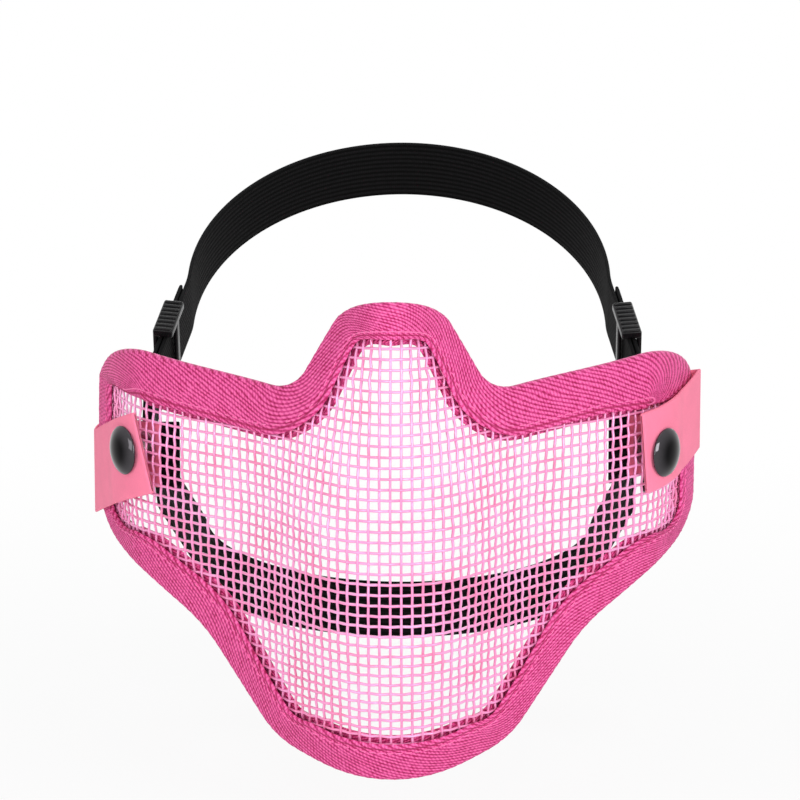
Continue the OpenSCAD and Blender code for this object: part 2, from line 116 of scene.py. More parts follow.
# Layers, counted from the middle of the mesh along its normal
LEG_IN, LEG_OUT = 1.25, 2.35
DIP_IN, DIP_OUT, DIP_FROM = 0.4, 0.6, 10
TAPE_FRONT, TAPE_BACK = 15, 16.5
FOLD_ROUND, FOLD_INSIDE = 2, 1.6
TAB_T = 1.6
FRONT_MID, BACK_MID = 3.55, 4.65
FLAP_FACE = FRONT_MID - TAB_T / 2
BACK_INNER, BACK_OUTER = -BACK_MID + TAB_T / 2, -BACK_MID - TAB_T / 2
SOCKET_LOW = 1.25

# Net of wires: rows below and above the snaps, levels at which each run is taken, how far
# past the edge it holds together, the steps that relax it, and the points of its outline
ROWS_BELOW, ROWS_ABOVE = 35, 26
NET_LEVELS = (-112, 80, 0.5)
NET_PAST = 6
NET_STEPS, NET_SHARE = 1500, 0.25
NET_OUTLINE = 360
# Sides of a wire, its parts from crossing to crossing, its rise there as a share of its
# radius, and the hole round a snap's post
WIRE_SIDES, WIRE_PARTS, WIRE_LIFT = 6, 4, 0.42
POST_HOLE = 3.1

# Seam and bead of the tape's inner edge, its rows of stitches, and the thread
BEAD, BEAD_HIGH = 1.4, 0.2
STITCH_FRONT, STITCH_BACK, STITCH_SHARE, STITCH_SUNK = 12.2, 13.2, 0.72, 0.02
PUCKER, PUCKER_WIDE = 0.05, 1.2
THREAD_R, THREAD_SIDES = 0.22, 6
# Steps across the tape in front and behind, and how its ribs wander: by how much of a rib,
# how many times round the edge, and with what slant across the cloth
AHEAD_STEP, BEHIND_STEP = 0.3, 0.36
RIB_WANDER = ((0.1, 17, 0.5), (0.07, 41, -0.9))

# Tabs and snaps
SNAP_X = 78.3
TAB_W, TAB_BACK_W = 25, 20
TAB_BACK_REACH, FELT_FRONT_REACH, FELT_BACK_REACH = 15, 8.7, 7
TAB_SLOPES, TAB_RISES = {"left": -19, "right": 6}, {"left": -2.4, "right": 2.0}
BACK_SHARE = 0.5
FOLD_PROUD, FOLD_FLAT = 0.5, 0.45
# Rings in each leg of a felt tab and in its fold, where the full ones start, the least half
# of its thickness, and where its end behind is cut to half of it
LEG_RINGS, FOLD_RINGS, FULL_FROM, LEAST_HALF = 40, 17, 1.2, 0.05
SKIVE_TO, SKIVE_RUN, SKIVED = 0.88, 0.1, 0.5
# Thickness of the felt where it is pressed round the tape, how much lower it lies there,
# and where that begins, out from the snap
HUG_T, HUG_LOW = 1.0, 0.6
HUG_FROM, HUG_RUN = 8, 8
# Cords of the lining behind a tab, and how far it ends before the fold
LINING_CORDS, LINING_SHORT = 12, 6
CAP_D, CAP_H, CAP_RIM = 15, 3.2, 0.8
POST_D, TUBE_D, HEAD_D, SOCKET_D, RIVET_D, RIVET_H = 3.6, 4.8, 4.6, 11, 10, 0.8
# Rounds of the cap's rim, of the other edges and of the small rings, and the stud's play
CAP_ROUND, EDGE_ROUND, RING_ROUND, STUD_PLAY = 0.42, 0.35, 0.3, 0.15
LATHE_PARTS = 48

# Straps: seam, then the run of each band seen along the line of its seams
STRAP_W, STRAP_T = 20, 1.3
SEAM_X, SEAM_Y, SEAM_FLAT = 75.6, 13.993, 14
UPPER_SEAM_Z, LOWER_SEAM_Z = 5, -7
UPPER_RISE, LOWER_DROP = 23, -42
UPPER_X, LOWER_X = 74.65, 73.05
UPPER_RUN_PLAN = (64, 66.5, 80)
LOWER_RUN_PLAN = (58, 62, 44)
RETURN_X, RETURN_GAP, RETURN_LEN = 0.95, 2, 46
SEAM_BOX, SEAM_STITCH, SEAM_THREAD = 12, 2.4, (1.8, 0.2)
PATCH_T = 1.5
# Steps along a strap, points of its plan, the rounding of its run, of its square ends and of
# its section, how thick it is at a square end, and each cord's points and relief
STRAP_STEP, PLAN_POINTS, STRAP_BLUR = 1.2, 60, 7
END_ROUND, WEB_ROUND, END_THICK = 0.5, 0.45, 0.35
CORD_POINTS, CORD_DEEP = 4, 0.045

# Sliders, x outward from the strap
SLIDER_AT, SLIDER_L, SLIDER_BAR, SLIDER_T = 38, 17, 3, 1.4
SLIDER_LOW, SLIDER_HIGH, SLIDER_WIDE = -2.35, 2.55, 10.3
GRIPS, GRIP_PITCH, GRIP_HALF, GRIP_WIDE = 8, 2.15, 0.55, 0.9
BAR_HALF, RIB_PITCH, RIB_HALF, BOX_ROUND = 1.45, 1.05, 0.32, 0.5

# View: how far it looks down and turns, what it looks past and from where, and the lens
VIEW_DOWN, VIEW_TURN = np.radians(12.95), np.radians(1.18)
VIEW_AT, VIEW_FAR, LENS = np.array([0, -67.8, 15.6]), 1300, 202.7
AIM_RIGHT, AIM_UP = 2.85, 13.42
# How far the floor lies below the solids, past the lower strap when it hangs at its limit
FLOOR_DROP = 20
# Lamps: name, place and size in metres, and power
LAMPS = (("key", (0.81, -1.01, 0.42), 0.6, 0.6, 8.2), ("fill", (-0.8, -0.7, 0.3), 0.6, 0.6, 2.9),
         ("front", (-0.05, -1.3, 0.3), 0.07, 1.0, 5.0), ("top", (0, 0.1, 1.1), 0.9, 0.9, 2.2),
         ("back", (0.2, 1.0, 0.5), 0.8, 0.8, 2.4))


# Face, outline and tape

def above(v, level):
    """How far v lies above level, and zero below it."""
    return np.maximum(v - level, 0)


def eased(t):
    """A share from 0 to 1 that starts and ends level."""
    t = np.clip(t, 0, 1)
    return t * t * (3 - 2 * t)


def face_y(x, z):
    """Depth of the face: a cheek surface in powers of x and z, from which the muzzle
    stands forward by its ridge line's depth times exp(-(x / width) ** power)."""
    up, down = above(z, CHEEK_LEVEL), above(-z, -CHEEK_LEVEL)
    lean = UPPER_LEAN * (up / UPPER_RUN) ** 2
    jaw = JAW_LEAN * (down / JAW_RUN) ** 2
    cheek = (-CHEEK_DEPTH + CHEEK_SWEEP * (x / CHEEK_AT) ** 2 + WING_SWEEP * (x / WING_AT) ** 4
             + WING_TURN * (above(np.abs(x), TURN_FROM) / TURN_RUN) ** 2 + lean
             + jaw * (JAW_SHARE + (1 - JAW_SHARE) * (x / JAW_AT) ** 2))
    middle = -CHEEK_DEPTH + lean + JAW_SHARE * jaw
    ridge = (-MUZZLE_DEPTH + NOSE_LEAN * (RIDGE_SHARE * above(z, RIDGE_FROM) / RIDGE_RUN
             + (1 - RIDGE_SHARE) * (above(z, NOSE_FROM) / NOSE_RUN) ** 2)
             + CHIN_FALL * (above(-z, -CHIN_FROM) / CHIN_RUN) ** 2)
    width, power = (np.interp(z, LEVELS, values) for values in (MUZZLE_WIDTHS, MUZZLE_POWERS))
    return cheek - (middle - ridge) * np.exp(-(np.abs(x) / width) ** power)


def skin(flat):
    """Points of the face over flat points (x, z)."""
    x, z = flat[..., 0], flat[..., 1]
    return np.stack([x, face_y(x, z), z], -1)


def unit(v):
    """Vectors of length one."""
    return v / np.linalg.norm(v, axis=-1, keepdims=True)


def front(flat):
    """Normals of the face towards its front, from the slopes of its depth."""
    x, z = flat[..., 0], flat[..., 1]
    slope_x = (face_y(x + PROBE, z) - face_y(x - PROBE, z)) / (2 * PROBE)
    slope_z = (face_y(x, z + PROBE) - face_y(x, z - PROBE)) / (2 * PROBE)
    return unit(np.stack([slope_x, -np.ones_like(x), slope_z], -1))


def off_skin(flat, n):
    """Points at a height n over the face."""
    return skin(flat) + np.asarray(n)[..., None] * front(flat)


def run_along(path):
    """Length along a line at each of its points."""
    return np.concatenate([[0], np.cumsum(np.linalg.norm(np.diff(path, axis=0), axis=1))])


def evenly(path, count, closed=True):
    """Count points at even steps of length along a line, and its whole length."""
    path = np.concatenate([path, path[:1]]) if closed else path
    run = run_along(path)
    at = np.linspace(0, run[-1], count, endpoint=not closed)
    return np.stack([np.interp(at, run, part) for part in path.T], -1), run[-1]


def averaged(values, around):
    """Means over each value and as many on both sides, for those that have them all."""
    return np.convolve(values, np.ones(2 * around + 1) / (2 * around + 1), "valid")


def rounded_outline():
    """Outline in the x, z plane, clockwise from the nose: each corner's round as an arc
    that touches both of its sides."""
    left = [(-x, z, r) for x, z, r in HALF_CORNERS[::-1]]
    corners = np.array([*HALF_CORNERS, CHIN_CORNER, *left], float)
    line = []
    for before, here, after in zip(np.roll(corners, 1, 0), corners, np.roll(corners, -1, 0)):
        at, r = here[:2], here[2]
        a, b = unit(before[:2] - at), unit(after[:2] - at)
        half = np.arccos(a @ b) / 2
        angle = np.pi - 2 * half
        centre = at + unit(a + b) * r / np.sin(half)
        start, end = (at + way * r / np.tan(half) - centre for way in (a, b))
        t = np.linspace(0, 1, max(3, int(r * angle / ARC_STEP)))[:, None]
        bow = np.sin(angle * (1 - t)) * start + np.sin(angle * t) * end
        line.append(centre + bow / np.sin(angle))
    return np.concatenate(line)


def outline_stations(count):
    """Stations of the tape, even along the edge of the face, the inward direction at each,
    the in-plane reach of the tape's leg and the length of the edge."""
    fine, _ = evenly(rounded_outline(), OUTLINE_POINTS)
    solid, length = evenly(skin(fine), count)
    flat = solid[:, [0, 2]]
    along = unit(np.roll(flat, -1, 0) - np.roll(flat, 1, 0))
    inward = np.stack([along[:, 1], -along[:, 0]], -1)
    reach = np.full(count, TAPE_BACK * 0.7)
    for _ in range(5):
        over = np.linalg.norm(skin(flat + inward * reach[:, None]) - skin(flat), axis=1)
        reach = reach * TAPE_BACK / over
    reach = squared(flat, inward, reach)
    around = max(1, round(REACH_BLUR * count / length))
    return flat, inward, averaged(np.pad(reach, around, mode="wrap"), around), length


def squared(flat, inward, reach):
    """Reaches of the tape, where its inner edge turns a corner. Under the nose arch and at
    the upper corners of the wings that edge runs on along both sides' inner lines until
    they meet, so each station there reaches to the further line. A soft maximum, the
    logarithm of a sum of exponentials, rounds the corner by its ease."""
    half = np.where(flat[:, :1] < 0, -1, 1) * [1, 0] + [0, 1]
    p, way = flat * half, inward * half
    inner = p + way * (reach * TAPE_FRONT / TAPE_BACK)[:, None]

    def line(at, lean=0):
        k = int(((p - at) ** 2).sum(1).argmin())
        cosine, sine = np.cos(np.radians(lean)), np.sin(np.radians(lean))
        across = way[k] @ np.array([[cosine, -sine], [sine, cosine]])
        return across, across @ inner[k]

    crown = (p[:, 0] < ARCH_END[0]) & (p[:, 1] > ARCH_END[1])
    turns = [(crown, ((np.array([0, -1]), -ARCH_INNER), line(ARCH_END)), ARCH_EASE)]
    for side, (start, end) in WING_TURNS.items():
        wing = (flat[:, 0] * SIDES[side] > start[0]) & (p[:, 1] > end[1])
        turns.append((wing, (line(start, WING_DIPS[side]), line(end)), WING_EASE))
    for chosen, lines, ease in turns:
        far = np.array([(level - p @ across) / np.maximum(way @ across, LEAST_GAIN)
                        for across, level in lines])
        far = np.logaddexp(*(far / ease)) * ease
        reach = np.where(chosen, far * TAPE_BACK / TAPE_FRONT, reach)
    return reach


def inset(stations, d):
    """Flat points a distance d over the face inside the edge, for each station."""
    flat, inward, reach, _ = stations
    return flat + inward * (reach * d / TAPE_BACK)[:, None]


def inside(points, fence):
    """Whether flat points lie inside a closed line: an odd number of its sides is crossed
    on the way out from each."""
    a, b = fence, np.roll(fence, -1, 0)
    px, pz = points[..., 0].ravel()[:, None], points[..., 1].ravel()[:, None]
    spans = (a[:, 1] > pz) != (b[:, 1] > pz)
    rise = np.where(b[:, 1] == a[:, 1], 1, b[:, 1] - a[:, 1])
    crossed = spans & (px < a[:, 0] + (pz - a[:, 1]) * (b[:, 0] - a[:, 0]) / rise)
    return (crossed.sum(1) % 2 == 1).reshape(points.shape[:-1])


# Meshes

def grid(rows, cols, close_rows, close_cols):
    """Quads of a grid of points, and the row and column of each corner before it wraps."""
    i, j = np.meshgrid(np.arange(rows - (not close_rows)), np.arange(cols - (not close_cols)),
                       indexing="ij")
    steps = ((0, 0), (1, 0), (1, 1), (0, 1))
    corners = np.stack([np.stack([i + a, j + b], -1) for a, b in steps], 2).reshape(-1, 4, 2)
    return corners[..., 0] % rows * cols + corners[..., 1] % cols, corners


def put_mesh(name, points, faces, maps=None, weld=False):
    """A smooth object of these points in mm. Faces is a list of arrays, each with its own
    number of corners, and maps holds for each UV map a list that matches it. The signed
    volume tells which way the faces look, and they are turned if it is negative."""
    points = np.asarray(points, float).reshape(-1, 3)
    faces = [np.asarray(f) for f in faces]
    maps = maps or {}
    fan = np.concatenate([np.stack([f[:, [0]].repeat(f.shape[1] - 2, 1), f[:, 1:-1], f[:, 2:]],
                                   -1).reshape(-1, 3) for f in faces])
    a, b, c = (points[fan[:, k]] for k in range(3))
    if (a * np.cross(b, c)).sum() < 0:
        faces = [f[:, ::-1] for f in faces]
        maps = {key: [uv[:, ::-1] for uv in each] for key, each in maps.items()}
    mesh = bpy.data.meshes.new(name)
    corners = np.concatenate([f.ravel() for f in faces])
    sizes = np.concatenate([np.full(len(f), f.shape[1]) for f in faces])
    mesh.vertices.add(len(points))
    mesh.vertices.foreach_set("co", (points * MM).ravel())
    mesh.loops.add(len(corners))
    mesh.loops.foreach_set("vertex_index", corners.astype(np.int32))
    mesh.polygons.add(len(sizes))
    mesh.polygons.foreach_set("loop_start", (np.cumsum(sizes) - sizes).astype(np.int32))
    mesh.polygons.foreach_set("use_smooth", np.ones(len(sizes), bool))
    mesh.update(calc_edges=True)
    for key, each in maps.items():
        spots = np.concatenate([uv.reshape(-1, 2) for uv in each])
        mesh.uv_layers.new(name=key).uv.foreach_set("vector", spots.astype(np.float32).ravel())
    if weld:
        work = bmesh.new()
        work.from_mesh(mesh)
        bmesh.ops.remove_doubles(work, verts=work.verts, dist=1e-7)
        bmesh.ops.dissolve_degenerate(work, edges=work.edges, dist=1e-7)
        work.to_mesh(mesh)
        work.free()
    mesh.validate()
    piece = bpy.data.objects.new(name, mesh)
    bpy.context.scene.collection.objects.link(piece)
    return piece


def finish_piece(piece, material, replaces=(), body=None):
    """Gives a piece its material, hides the solids it stands for and, when a body is given, puts it
    on the body it rides on."""
    piece.data.materials.append(material)
    if body:
        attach(piece, body)
    if replaces:
        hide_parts(*replaces)
    return piece


def rounded_section(width, thick, radius, across):
    """Loop of a rounded rectangle as points (v, n): across points on each wide side,
    joined by quarter circles, counted round from the corner (-v, +n)."""
    v = np.linspace(radius - width / 2, width / 2 - radius, across)
    t = np.radians([30, 60])
    quarter = radius * np.stack([np.sin(t), np.cos(t)], -1)
    top = np.stack([v, np.full(across, thick / 2)], -1)
    right = np.array([width / 2 - radius, thick / 2 - radius]) + quarter
    side = np.array([[width / 2, thick / 2 - radius], [width / 2, radius - thick / 2]])
    half = np.concatenate([top, right, side, right[::-1] * [1, -1]])
    return np.concatenate([half, -half])


def drawn_in(at, radius):
    """How far a rounded end is drawn in at a distance from its tip."""
    return radius - np.sqrt(radius ** 2 - (radius - np.minimum(at, radius)) ** 2)


def ended(rings, sides):
    """The two end faces of a grid of rings by sides."""
    return np.stack([np.arange(sides)[::-1], np.arange(sides) + (rings - 1) * sides])


def copied(faces, count, points):
    """Faces of a shape, repeated for each of count copies with this many points."""
    return (faces + (np.arange(count) * points)[:, None, None]).reshape(-1, faces.shape[-1])


def sweep(name, rings, maps=None, closed=False):
    """A closed skin over rings of points, with flat faces on its two ends unless the rings
    close on themselves. Maps gives for each UV map its two numbers by ring and point."""
    quads, corners = grid(*rings.shape[:2], closed, True)
    row, col = corners[..., 0], corners[..., 1] % rings.shape[1]
    faces = [quads]
    laid = {key: [np.stack(uv(row, col), -1)] for key, uv in (maps or {}).items()}
    if not closed:
        ends = ended(*rings.shape[:2])
        faces.append(ends)
        for each in laid.values():
            each.append(np.zeros((*ends.shape, 2)))
    return put_mesh(name, rings, faces, laid)


def lathe(name, base, out, profile):
    """A profile of radius and height turned about an axis. Profiles that start and end on
    the axis close at their poles."""
    out = unit(np.asarray(out, float))
    side = unit(np.cross(out, [0, 0, 1]))
    other = np.cross(out, side)
    turn = np.linspace(0, TURN, LATHE_PARTS, endpoint=False)[:, None, None]
    r, h = profile[None, :, 0, None], profile[None, :, 1, None]
    rings = base + out * h + r * (np.cos(turn) * side + np.sin(turn) * other)
    quads, corners = grid(LATHE_PARTS, len(profile), True, profile[0, 0] > 0)
    share = profile[:, 0] / profile[:, 0].max()
    spots = np.stack([share[corners[..., 1] % len(profile)], corners[..., 0] / LATHE_PARTS], -1)
    return put_mesh(name, rings, [quads], {"turned": [spots]}, weld=True)


def arc(centre, radius, start, end, steps):
    """Points of a circle in a profile, angles in degrees from the radius towards the height."""
    t = np.radians(np.linspace(start, end, steps))
    return np.stack([centre[0] + radius * np.cos(t), centre[1] + radius * np.sin(t)], -1)


def capsules(name, centres, along, out, length, radius):
    """A short thread for every centre: a circle carried along a half turn of a sunk arc,
    thick in the middle and round at its ends."""
    t = np.array([0, 0.12, 0.35, 0.65, 0.88, 1])
    thick = (radius * np.array([0.05, 0.75, 1, 1, 0.75, 0.05]))[:, None, None]
    turn = np.linspace(0, TURN, THREAD_SIDES, endpoint=False)[:, None]
    along, out = unit(along)[:, None], unit(out)[:, None]
    side = np.cross(along, out)[:, None]
    middle = (centres[:, None] + along * ((t - 0.5) * length)[:, None]
              + out * (radius * (np.sin(np.pi * t) - 0.6))[:, None])
    points = middle[:, :, None] + thick * (np.cos(turn) * out[:, None] + np.sin(turn) * side)
    shape = len(t), THREAD_SIDES
    return put_mesh(name, points, [copied(faces, len(centres), len(t) * THREAD_SIDES)
                                   for faces in (grid(*shape, False, True)[0], ended(*shape))])


# Snap fasteners and tabs: the run of the face outward at the level of the snaps

RUN_X = np.arange(0, 1.1 * WING_X, RUN_STEP)
RUN = run_along(np.stack([RUN_X, face_y(RUN_X, 0 * RUN_X)], -1))
EDGE_RUN = np.interp(WING_X, RUN_X, RUN)
SNAP_RUN = np.interp(SNAP_X, RUN_X, RUN)


def plan_out(run):
    """Outward direction in plan, square to the face at a run."""
    x = np.interp(np.minimum(run, EDGE_RUN), RUN, RUN_X)
    rise = face_y(x + PROBE, 0 * x) - face_y(x - PROBE, 0 * x)
    return unit(np.stack([rise, np.full_like(x, -2 * PROBE)], -1))


def plan_point(run, n):
    """Point in plan at a run and a height n, straight on past the edge."""
    run, n = np.broadcast_arrays(np.asarray(run, float), np.asarray(n, float))
    x, out = np.interp(np.minimum(run, EDGE_RUN), RUN, RUN_X), plan_out(run)
    on = np.stack([-out[..., 1], out[..., 0]], -1) * above(run, EDGE_RUN)[..., None]
    return np.stack([x, face_y(x, 0 * x)], -1) + out * n[..., None] + on


SNAP_AT = plan_point(SNAP_RUN, 0)
SNAP_OUT = plan_out(np.array(SNAP_RUN))
SNAP_SQUARE = np.array([-SNAP_OUT[1], SNAP_OUT[0]])
FOLD_R, FOLD_N = (FRONT_MID + BACK_MID) / 2, (FRONT_MID - BACK_MID) / 2
FOLD_RUN = EDGE_RUN + FOLD_PROUD
HINGE = plan_point(FOLD_RUN + FOLD_R, FOLD_N)


def mirrored(points, side):
    """Points of the right side, or their mirror image for the left."""
    return points * [SIDES[side], 1, 1]


# Materials

def finish(name, **sockets):
    """A material whose plain values stand on its shader's own sockets."""
    material = bpy.data.materials.new(name)
    material.use_nodes = True
    tree = material.node_tree
    shader = tree.nodes["Principled BSDF"]
    for socket, value in sockets.items():
        shader.inputs[socket.replace("_", " ")].default_value = value
    return material, tree, shader


def join(tree, shader, **sockets):
    """Joins results to a shader's sockets."""
    for socket, value in sockets.items():
        tree.links.new(value, shader.inputs[socket.replace("_", " ")])


def add(tree, kind, inputs=None, **settings):
    """A new node with its settings, and its inputs filled with values or joined."""
    made = tree.nodes.new("ShaderNode" + kind)
    for key, value in settings.items():
        setattr(made, key, value)
    for key, value in (inputs or {}).items():
        if isinstance(value, bpy.types.NodeSocket):
            tree.links.new(value, made.inputs[key])
        else:
            made.inputs[key].default_value = value
    return made


def calc(tree, operation, *values):
    """Result of one sum on values and sockets."""
    return add(tree, "Math", dict(enumerate(values)), operation=operation).outputs[0]


def noise(tree, scale, detail, roughness=0.5):
    """Cloudy pattern between 0 and 1. Scale counts its waves in a metre."""
    where = add(tree, "TexCoord").outputs["Object"]
    return add(tree, "TexNoise", {"Vector": where, "Scale": scale, "Detail": detail,
                                  "Roughness": roughness}).outputs["Fac"]


def mapped(tree, value, start, end, low=0.0, high=1.0, **settings):
    """Start to end, as a value goes from low to high."""
    return add(tree, "MapRange", {"Value": value, "From Min": low, "From Max": high,
                                  "To Min": start, "To Max": end}, **settings).outputs[0]


def mixed(tree, share, first, second, **settings):
    """Two colours mixed by a share."""
    return add(tree, "MixRGB", {"Fac": share, "Color1": first, "Color2": second},
               **settings).outputs[0]


def times(tree, first, second):
    """Two colours multiplied."""
    return mixed(tree, 1.0, first, second, blend_type="MULTIPLY")


def ramp(tree, value, stops):
    """Colour of a value, by stops of place and colour."""
    made = add(tree, "ValToRGB", {"Fac": value})
    points = made.color_ramp.elements
    for _ in range(len(stops) - 2):
        points.new(0.5)
    for point, (place, colour) in zip(points, stops):
        point.position, point.color = place, (*colour[:3], 1)
    return made.outputs["Color"]


def tinted(tree, colour, value, low, high):
    """A colour made darker or lighter as a value goes from 0 to 1."""
    return times(tree, (*colour, 1), mapped(tree, value, low, high))


def bump(tree, shader, height, distance, strength):
    """Relief of a height between 0 and 1, of this depth in mm."""
    made = add(tree, "Bump", {"Height": height, "Distance": distance * MM, "Strength": strength})
    join(tree, shader, Normal=made.outputs[0])


def uv_parts(tree, name):
    """The two numbers of a UV map."""
    return add(tree, "SeparateXYZ", {0: add(tree, "UVMap", uv_map=name).outputs[0]}).outputs[:2]


def wave(tree, phase):
    """1 on the ribs and 0 in the grooves between them, one rib for each whole phase."""
    cosine = calc(tree, "COSINE", calc(tree, "MULTIPLY", phase, TURN))
    return calc(tree, "MULTIPLY_ADD", cosine, 0.5, 0.5)


def wire_paint(props):
    """Baked enamel on steel wire: glossy, a little uneven, thinner and darker in some patches and
    thicker and lighter in others."""
    material, tree, shader = finish("enamelled_wire", Roughness=0.3, Coat_Weight=0.5,
                                    Coat_Roughness=0.12, Metallic=0.15)
    colours = [(0.3, props.shade_colour), (0.5, props.colour), (0.72, props.light_colour)]
    join(tree, shader, Base_Color=ramp(tree, noise(tree, 90, 3), colours))
    bump(tree, shader, noise(tree, 1500, 2), 0.05, 0.6)
    return material


def tape_cloth(props):
    """Twill binding: slanting ribs of yarn, with painted shade in the grooves and at its inner
    seam, and painted highlights on the ribs' tops.
    The ribs follow the first number of their UV map, and the yarn's turns the second. The
    seam follows the distance from the edge, which is the second number of the other map."""
    material, tree, shader = finish("twill_tape", Roughness=0.6, Specular_IOR_Level=0.25,
                                    Sheen_Weight=0.08, Sheen_Roughness=0.4)
    phase, along = uv_parts(tree, "ribs")
    across = uv_parts(tree, "cut")[1]
    turns = calc(tree, "ADD", calc(tree, "MULTIPLY", along, 1 / 1.3),
                 calc(tree, "MULTIPLY", phase, 0.35))
    relief = calc(tree, "MULTIPLY", calc(tree, "POWER", wave(tree, phase), 0.7),
                  calc(tree, "MULTIPLY_ADD", wave(tree, turns), 0.55, 0.45))
    cloud, fleck = noise(tree, 220, 3), noise(tree, 1100, 2)
    uneven = calc(tree, "MULTIPLY_ADD", cloud, 0.4, -0.6)
    tone = calc(tree, "ADD", relief, calc(tree, "MULTIPLY_ADD", fleck, 1.0, uneven))
    # Painted shade and highlight over the real ribs: low relief takes the groove colour, high
    # relief the light colour of the ribs' tops.
    colour = ramp(tree, tone, [(0.05, props.groove_shade_colour), (0.4, props.colour),
                               (0.95, props.light_colour)])
    # Painted shade: a dark line in the groove colour along the crease where the bead meets the
    # ribs.
    seam = calc(tree, "ABSOLUTE", calc(tree, "SUBTRACT", across, TAPE_FRONT - BEAD - 0.15))
    colour = mixed(tree, mapped(tree, seam, 0.75, 0.0, 0.15, 0.5), colour,
                   (*props.groove_shade_colour, 1))
    join(tree, shader, Base_Color=colour)
    fibre = calc(tree, "MULTIPLY", noise(tree, 2600, 2), 0.35)
    bump(tree, shader, calc(tree, "ADD", relief, fibre), 0.16, 0.7)
    return material


def felt_cloth(props):
    """Pressed felt: matt, with a soft nap of crossing fibres."""
    material, tree, shader = finish("pressed_felt", Roughness=0.95, Specular_IOR_Level=0.2,
                                    Sheen_Weight=0.12, Sheen_Roughness=0.6)
    cloud, fibre = noise(tree, 160, 4), noise(tree, 1900, 4, 0.75)
    nap = calc(tree, "ADD", calc(tree, "MULTIPLY", cloud, 0.4), calc(tree, "MULTIPLY", fibre, 0.6))
    join(tree, shader, Base_Color=tinted(tree, props.colour, nap, 0.8, 1.14))
    bump(tree, shader, fibre, 0.14, 0.8)
    return material


def plated(name, colour, roughness, rim_reflection=1.0):
    """Plated metal with faint clouds and hairlines in its polish. The last argument says how many
    times lighter it is at the rim of a turned piece than in its middle: a painted reflection, dark
    in the middle and grey towards the rim, as a polished dome mirrors a bright room."""
    material, tree, shader = finish(name, Metallic=1.0)
    made = tinted(tree, colour, noise(tree, 700, 3), 0.85, 1.1)
    if rim_reflection > 1:
        # Painted reflection: from four tenths of the radius out to the rim, the colour grows
        # lighter, up to the given number of times.
        rim = mapped(tree, uv_parts(tree, "turned")[0], 1 / rim_reflection, 1.0, 0.4, 1.0,
                     interpolation_type="SMOOTHSTEP")
        made = times(tree, times(tree, made, (rim_reflection, rim_reflection, rim_reflection, 1)), rim)
    polish = mapped(tree, noise(tree, 350, 4), roughness * 0.6, roughness * 1.5)
    join(tree, shader, Base_Color=made, Roughness=polish)
    return material


def webbing(props):
    """Elastic webbing, made once: lengthwise cords crossed by fine picks, with painted shade in the
    grooves between them, a little faded on top."""
    known = bpy.data.materials.get("elastic_webbing")
    if known:
        return known
    material, tree, shader = finish("elastic_webbing", Roughness=0.7, Specular_IOR_Level=0.04)
    cords, picks = uv_parts(tree, "weave")
    fine = wave(tree, calc(tree, "MULTIPLY", picks, 1 / 0.7))
    relief = calc(tree, "MULTIPLY", calc(tree, "MULTIPLY_ADD", fine, 0.45, 0.55), wave(tree, cords))
    faded = calc(tree, "MULTIPLY_ADD", noise(tree, 900, 3), 0.6, -0.3)
    # Painted shade: the grooves between the cords and the picks take the groove colour.
    colours = [(0.1, props.groove_shade_colour), (0.9, props.colour)]
    join(tree, shader, Base_Color=ramp(tree, calc(tree, "ADD", relief, faded), colours))
    bump(tree, shader, relief, 0.16, 0.8)
    return material


def moulded(props):
    """Moulded black plastic: satin, with a fine spark-eroded grain."""
    material, tree, shader = finish("moulded_plastic", Roughness=0.24, Specular_IOR_Level=0.2)
    join(tree, shader, Base_Color=tinted(tree, props.plastic_colour, noise(tree, 400, 3), 0.8, 1.3))
    bump(tree, shader, noise(tree, 5200, 2), 0.05, 0.5)
    return material


def backing():
    """Black backing cloth of the seams: matt and closely woven."""
    material, tree, shader = finish("backing_cloth", Roughness=0.8, Specular_IOR_Level=0.05)
    cloud = noise(tree, 1200, 3)
    join(tree, shader, Base_Color=tinted(tree, (0.008, 0.008, 0.0085), cloud, 0.6, 1.4))
    bump(tree, shader, cloud, 0.12, 0.7)
    return material


def thread(name, colour):
    """Twisted sewing thread: strands that wind round it, lighter and darker at random."""
    material, tree, shader = finish(name, Roughness=0.55, Sheen_Weight=0.2)
    strands = noise(tree, 3200, 1)
    join(tree, shader, Base_Color=tinted(tree, colour, strands, 0.6, 1.3))
    bump(tree, shader, strands, 0.08, 0.6)
    return material


# Settings

def colour(text, of, value):
    """A colour setting, in linear red, green and blue."""
    return FloatVectorProperty(name=text, description="Colour of the " + of, subtype="COLOR",
                               size=3, min=0, max=1, default=value)


def size(text, description, value, low, high):
    """A length setting in mm."""
    return FloatProperty(name=text, description=description + ", in mm", default=value,
                         min=low, max=high)


class WireSettings(bpy.types.PropertyGroup):
    """Sizes and colours of the woven wires."""
    pitch: size("Pitch", "Distance between neighbouring wires", 3.175, 2, 5)
    thick: size("Wire", "Diameter of a wire", 0.84, 0.4, 1)
    cover: size("Cover", "Distance of the wires' ends from the edge, under the tape", 8.0, 4, 13)
    colour: colour("Enamel", "enamel", (0.97, 0.33, 0.625))
    shade_colour: colour("Thin enamel", "enamel where it is thin", (0.92, 0.24, 0.47))
    light_colour: colour("Thick enamel", "enamel where it is thick", (0.98, 0.42, 0.73))


